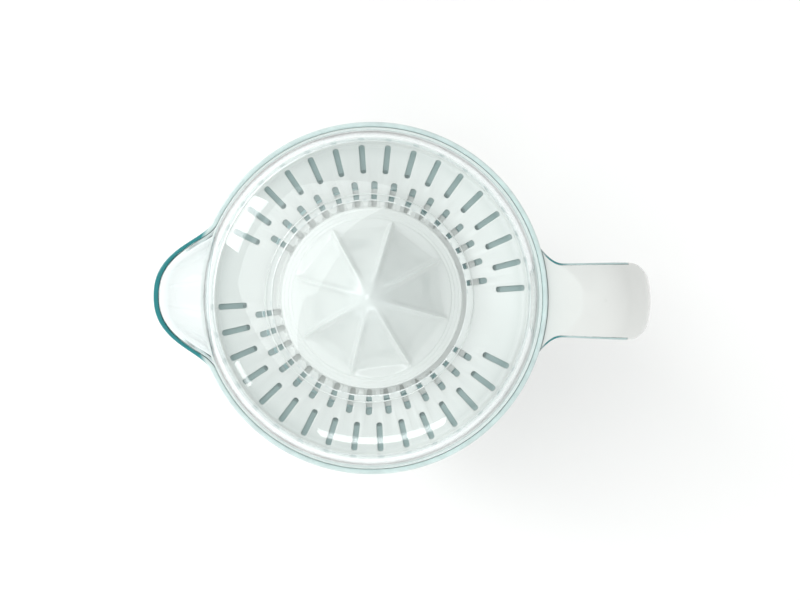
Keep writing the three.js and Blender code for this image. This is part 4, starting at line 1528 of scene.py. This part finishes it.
@dataclass
class MotorBase(Assembly):
    """The white shell with its deck and collar, the plate under it, feet, screws and gland."""

    wall: float = 2.5
    deck: float = 87.5
    boss: float = 91.6
    collar: float = 12.0
    bush: float = 8.4
    boss_turns: tuple[float, ...] = (15.0, 105.0, 195.0, 285.0)
    boss_at: float = 54.8
    gland_bore: float = 5.9

    def __post_init__(self) -> None:
        """Takes the shell's foot, its top and the gland's place from the frame."""
        self.foot_radius = high("base_housing").x
        self.low = low("base_housing").z
        self.collar_top = high("base_housing").z
        self.gland = middle("cord_gland")

    def build(self) -> None:
        """Makes every piece of the base that can be seen."""
        self.housing()
        self.plate()
        for number in range(1, 5):
            self.foot(number)
            self.plate_screw(number)
        self.cord_gland()
        self.seal_and_bush()

    def housing(self) -> None:
        """Makes the shell with its screw columns and the gland's hole."""
        foot, wall = self.foot_radius, self.wall
        outside = [(foot, self.low + 0.6), (foot - 1.0, 24.0), (foot - 2.0, 46.0)]
        outside += [(foot - 2.7, 66.0), (foot - 3.6, self.deck - 3.4)]
        outline = rounded([
            (self.collar, self.collar_top, 0.8), (self.bush, self.collar_top, 0.3),
            (self.bush, self.deck - 3.5, 0.3), (self.collar, self.deck - 3.5, 0.3),
            (self.collar, self.boss - wall, 1.0), (47.9, self.boss - wall, 1.0),
            (48.4, self.deck - wall, 1.0), (foot - 6.4, self.deck - wall, 2.0),
            (foot - 2 - wall, 46.0, 4.0), (foot - wall, self.low, 0.4), (foot, self.low, 0.5),
            *curve_through(outside), (foot - 4.2, self.deck, 2.2), (51.0, self.deck, 1.2),
            (50.4, self.boss, 1.4), (self.collar + 0.5, self.boss, 1.6),
        ])
        shell = Shell().turn(outline, 256)
        shell_piece = shell.piece("base_housing_white")
        columns = Shell()
        for turn in self.boss_turns:
            place = polar(turn, self.boss_at)
            ring = [(1.7, 5.5), (4.0, 5.5), (4.0, 30.0), (1.7, 24.0)]
            columns.turn(rounded([(r, z, 0.3) for r, z in ring]), 32, centre=place)
        carve(shell_piece, columns.piece("screw_columns"), Carve.JOIN)
        drill = Shell().turn([(0.0, 0.0), (self.gland_bore, 0.0), (self.gland_bore, 20.0), (0.0, 20.0)], 48)
        drill.points = [(x, 50 + z, y + self.gland.z) for x, y, z in drill.points]
        carve(shell_piece, drill.piece("gland_hole"))
        self.mount(shell_piece, "base_housing", "housing_plastic", Body.BASE)

    def plate(self) -> None:
        """Makes the bottom plate with vents, recesses and gearbox pillars."""
        radius, start = high("base_plate").x, low("base_plate").z
        top = start + 4.0
        disc = [(0.0, start, 0.0), (radius, start, 0.7), (radius, top, 0.5), (0.0, top, 0.0)]
        plate = Shell().turn(rounded(disc), 192).piece("base_plate_grey")
        pillars = Shell()
        for number in range(1, 5):
            screw = middle(f"gearbox_screw_{number}")
            ring = [(1.8, top - 0.5), (4.4, top - 0.5), (4.1, 42.7), (1.8, 42.7)]
            pillars.turn(rounded([(r, z, 0.3) for r, z in ring]), 32, centre=(screw.x, screw.y))
        carve(plate, pillars.piece("gearbox_pillars"), Carve.JOIN)
        holes = Shell()
        for step in range(12):
            turn = math.tau * (step + 0.5) / 12
            slot = [*arc((30.6, 0), 1.4, -90, 90, 6), *arc((15.4, 0), 1.4, 90, 270, 6)]
            holes.prism([turned(x, y, turn) for x, y in slot], 0, top + 3)
        for number in range(1, 5):
            foot, screw = middle(f"foot_{number}"), middle(f"plate_screw_{number}")
            recess = [(0.0, 0.0), (7.3, 0.0), (7.3, 2.6), (0.0, 2.6)]
            holes.turn(recess, 48, centre=(foot.x, foot.y))
            seat = [(0.0, 0.0), (3.3, 0.0), (3.3, 3.4), (1.8, 3.4), (1.8, 9.0), (0.0, 9.0)]
            holes.turn(seat, 32, centre=(screw.x, screw.y))
        carve(plate, holes.piece("plate_holes"))
        self.mount(plate, "base_plate", "grey_plastic", Body.BASE)

    def foot(self, number: int) -> None:
        """Makes one rubber foot, with a groove round its sole.

        Args:
            number: The foot's number.
        """
        node = f"foot_{number}"
        place, top = middle(node), high(node).z
        outline = rounded([
            (0.0, 0.0, 0.0), (4.2, 0.0, 0.2), (4.5, 0.5, 0.2), (5.1, 0.5, 0.2), (5.4, 0.0, 0.2),
            (6.6, 0.0, 0.5), (7.0, 0.9, 0.4), (7.0, top, 0.3), (0.0, top, 0.0),
        ])
        sole = Shell().turn(outline, 64, centre=(place.x, place.y)).piece(f"{node}_rubber")
        self.mount(sole, node, "rubber", Body.BASE)

    def plate_screw(self, number: int) -> None:
        """Makes one screw of the bottom plate, with a cross recess and a thread.

        Args:
            number: The screw's number.
        """
        node = f"plate_screw_{number}"
        place, start, end = middle(node), low(node).z, high(node).z
        seat = start + 2.0
        shank, root = 1.5, 1.28
        heights = spread(seat + 1, end - 1.4, 20)
        thread = [(root if step % 2 else shank, height) for step, height in enumerate(heights)]
        head = [(0.0, start, 0.0), (2.5, start, 0.8), (3.0, seat, 0.2), (shank, seat, 0.0)]
        outline = [*rounded([*head, (0.0, seat, 0.0)])[:-1], *thread, (0.9, end), (0.0, end)]
        screw = Shell().turn(outline, 32, centre=(place.x, place.y)).piece(f"{node}_steel")
        reach, half = 1.7, 0.35
        quarter = [(reach, -half), (reach, half), (half, half)]
        plus = [
            (x * cos - y * sin + place.x, x * sin + y * cos + place.y)
            for cos, sin in ((1, 0), (0, 1), (-1, 0), (0, -1))
            for x, y in quarter
        ]
        cross = Shell().prism(plus, start - 1, start + 1.1)
        carve(screw, cross.piece("cross_recess"))
        self.mount(screw, node, "steel", Body.BASE)

    def cord_gland(self) -> None:
        """Makes the bush in the rear wall: a flange against the wall and a ribbed tail."""
        start = low("cord_gland").y
        tail = []
        for step in range(3):
            near = 11.2 + step * 1.6
            radius = 5.6 - step * 0.45
            tail += [(radius, near + 0.1, 0.2), (radius - 0.1, near + 1.0, 0.2)]
            tail += [(radius - 0.8, near + 1.1, 0.15), (radius - 0.8, near + 1.5, 0.15)]
        outline = rounded([
            (3.3, 0.0, 0.3), (5.6, 0.0, 0.4), (5.6, 9.0, 0.1), (7.4, 9.4, 0.4), (7.0, 11.0, 0.6), *tail,
            (4.0, 16.0, 0.3), (3.3, 16.0, 0.3),
        ])
        gland = Shell().turn(outline, 64)
        gland.points = [(x, start + z, self.gland.z - y) for x, y, z in gland.points]
        self.mount(gland.piece("cord_gland_black"), "cord_gland", "black_plastic", Body.BASE)

    def seal_and_bush(self) -> None:
        """Makes the lip seal and the bearing in the collar."""
        top = self.collar_top
        lip = rounded([
            (4.6, top - 4.0, 0.3), (8.1, top - 4.0, 0.3), (8.1, top - 0.6, 0.4), (6.0, top - 0.6, 0.3),
            (5.6, top - 1.5, 0.5), (4.3, top - 1.5, 0.2),
        ])
        seal = Shell().turn(lip, 64).piece("spindle_seal_rubber")
        self.mount(seal, "spindle_seal", "rubber", Body.BASE)
        start, end = low("spindle_bush").z, high("spindle_bush").z
        ring = rounded([(4.2, start, 0.4), (8.1, start, 0.5), (8.1, end, 0.5), (4.2, end, 0.4)])
        bush = Shell().turn(ring, 64).piece("spindle_bush_bronze")
        self.mount(bush, "spindle_bush", "bronze", Body.BASE)


def polar(degrees: float, radius: float) -> tuple[float, float]:
    """X and Y of a direction and a distance from the axis."""
    turn = math.radians(degrees)
    return (radius * math.cos(turn), radius * math.sin(turn))


@dataclass
class Works(Assembly):
    """Gearbox, motor and switch: frame nodes that keep their shape and get their finish."""

    nodes: Mapping[str, bpy.types.Object]
    slots: Mapping[str, str]

    def build(self) -> None:
        """Dresses every node that no made piece stands for."""
        for name, node in self.nodes.items():
            if node.hide_render:
                continue
            self.finishes.dress(node, self.slots[name])
            LOG.info("%s: frame node, %s", name, self.slots[name])


# ---------- studio ----------


@dataclass(frozen=True)
class Softbox:
    """A soft rectangular lamp that points at the press.

    Its azimuth and elevation are in degrees, from X and from level. A lamp that isn't mirrored lights
    the press, but glossy surfaces don't show it.
    """

    name: str
    azimuth: float
    elevation: float
    distance: float
    width: float
    height: float
    power: float
    aim: Point = (0.0, 0.0, 120.0)
    mirrored: bool = True

    def build(self) -> None:
        """Hangs the lamp."""
        lamp = bpy.data.lights.new(self.name, "AREA")
        lamp.shape = "RECTANGLE"
        lamp.size = self.width * MM
        lamp.size_y = self.height * MM
        lamp.energy = self.power
        holder = bpy.data.objects.new(self.name, lamp)
        bpy.context.scene.collection.objects.link(holder)
        azimuth, elevation = math.radians(self.azimuth), math.radians(self.elevation)
        away = Vector((
            math.cos(azimuth) * math.cos(elevation), math.sin(azimuth) * math.cos(elevation),
            math.sin(elevation),
        ))
        holder.location = (Vector(self.aim) + away * self.distance) * MM
        holder.rotation_euler = away.to_track_quat("Z", "Y").to_euler()
        holder.visible_glossy = self.mirrored


@dataclass
class Studio:
    """Pale floor, soft lamps, a bright room and the camera straight above the press."""

    floor_side: float = 60000.0
    camera_height: float = 730.0
    camera_place: tuple[float, float] = (12.5, -0.7)
    camera_turn: float = 0.7
    lens: float = 57.4
    room: float = 0.84
    horizon: float = 0.36
    lamps: tuple[Softbox, ...] = (
        Softbox("key_softbox", 150.0, 15.0, 900.0, 340.0, 560.0, 2.6),
        Softbox("side_strip", 211.0, 14.0, 900.0, 160.0, 160.0, 0.3),
        Softbox("front_strip", -85.0, 26.0, 900.0, 800.0, 200.0, 2.1),
        Softbox("top_softbox", 150.0, 64.0, 1300.0, 900.0, 900.0, 4.4, mirrored=False),
    )

    def build(self) -> None:
        """Makes floor, room, lamps and camera."""
        self.floor()
        self.surroundings()
        for lamp in self.lamps:
            lamp.build()
        self.camera()

    def floor(self) -> None:
        """Lays the floor."""
        half = self.floor_side / 2
        corners = [(-half, -half), (half, -half), (half, half), (-half, half)]
        shell = Shell()
        shell.points = [(x, y, 0.0) for x, y in corners]
        shell.faces = [[0, 1, 2, 3]]
        floor = shell.piece("studio_floor")
        floor.data.materials.append(MattePaper("white_paper_matte", "#fcfcfb").build())

    def surroundings(self) -> None:
        """Lights the room from above and all round, and less towards the horizon."""
        world = bpy.data.worlds.new("bright_room")
        world.use_nodes = True
        tree = world.node_tree
        background = tree.nodes["Background"]
        background.inputs["Color"].default_value = linear("#fbfcfc")
        direction = add_node(tree, "TexCoord").outputs["Generated"]
        upward = add_node(tree, "SeparateXYZ", None, {0: direction}).outputs["Z"]
        strength = add_node(
            tree, "MapRange",
            {"From Min": 0.05, "From Max": 0.5, "To Min": self.horizon, "To Max": self.room},
            {"Value": upward},
        )
        tree.links.new(strength.outputs[0], background.inputs["Strength"])
        scene = bpy.context.scene
        scene.world = world
        scene.view_settings.view_transform = "Standard"

    def camera(self) -> None:
        """Sets the camera above the press, looking straight down."""
        lens = bpy.data.cameras.new("camera")
        lens.lens = self.lens
        lens.clip_start, lens.clip_end = 0.01, 100.0
        holder = bpy.data.objects.new("camera", lens)
        holder.location = Vector((*self.camera_place, self.camera_height)) * MM
        holder.rotation_euler = (0.0, 0.0, math.radians(self.camera_turn))
        bpy.context.scene.collection.objects.link(holder)
        bpy.context.scene.camera = holder


def corners(box: Iterable[Vector]) -> list[list[float]]:
    """A box's two corners as plain numbers."""
    return [[round(value, 6) for value in corner] for corner in box]


def main() -> None:
    """Loads the frame, and builds the press and the studio."""
    logging.basicConfig(level=logging.INFO, format="%(message)s")
    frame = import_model()
    slots = {part["node"]: part["material_slot"] for part in frame["record"]["subparts"]}
    finishes = Finishes()
    for assembly in (Jug, Bowl, Cone, Lid, MotorBase):
        assembly(finishes).build()
    Works(finishes, frame["nodes"], slots).build()
    Studio().build()


if __name__ == "__main__":
    main()
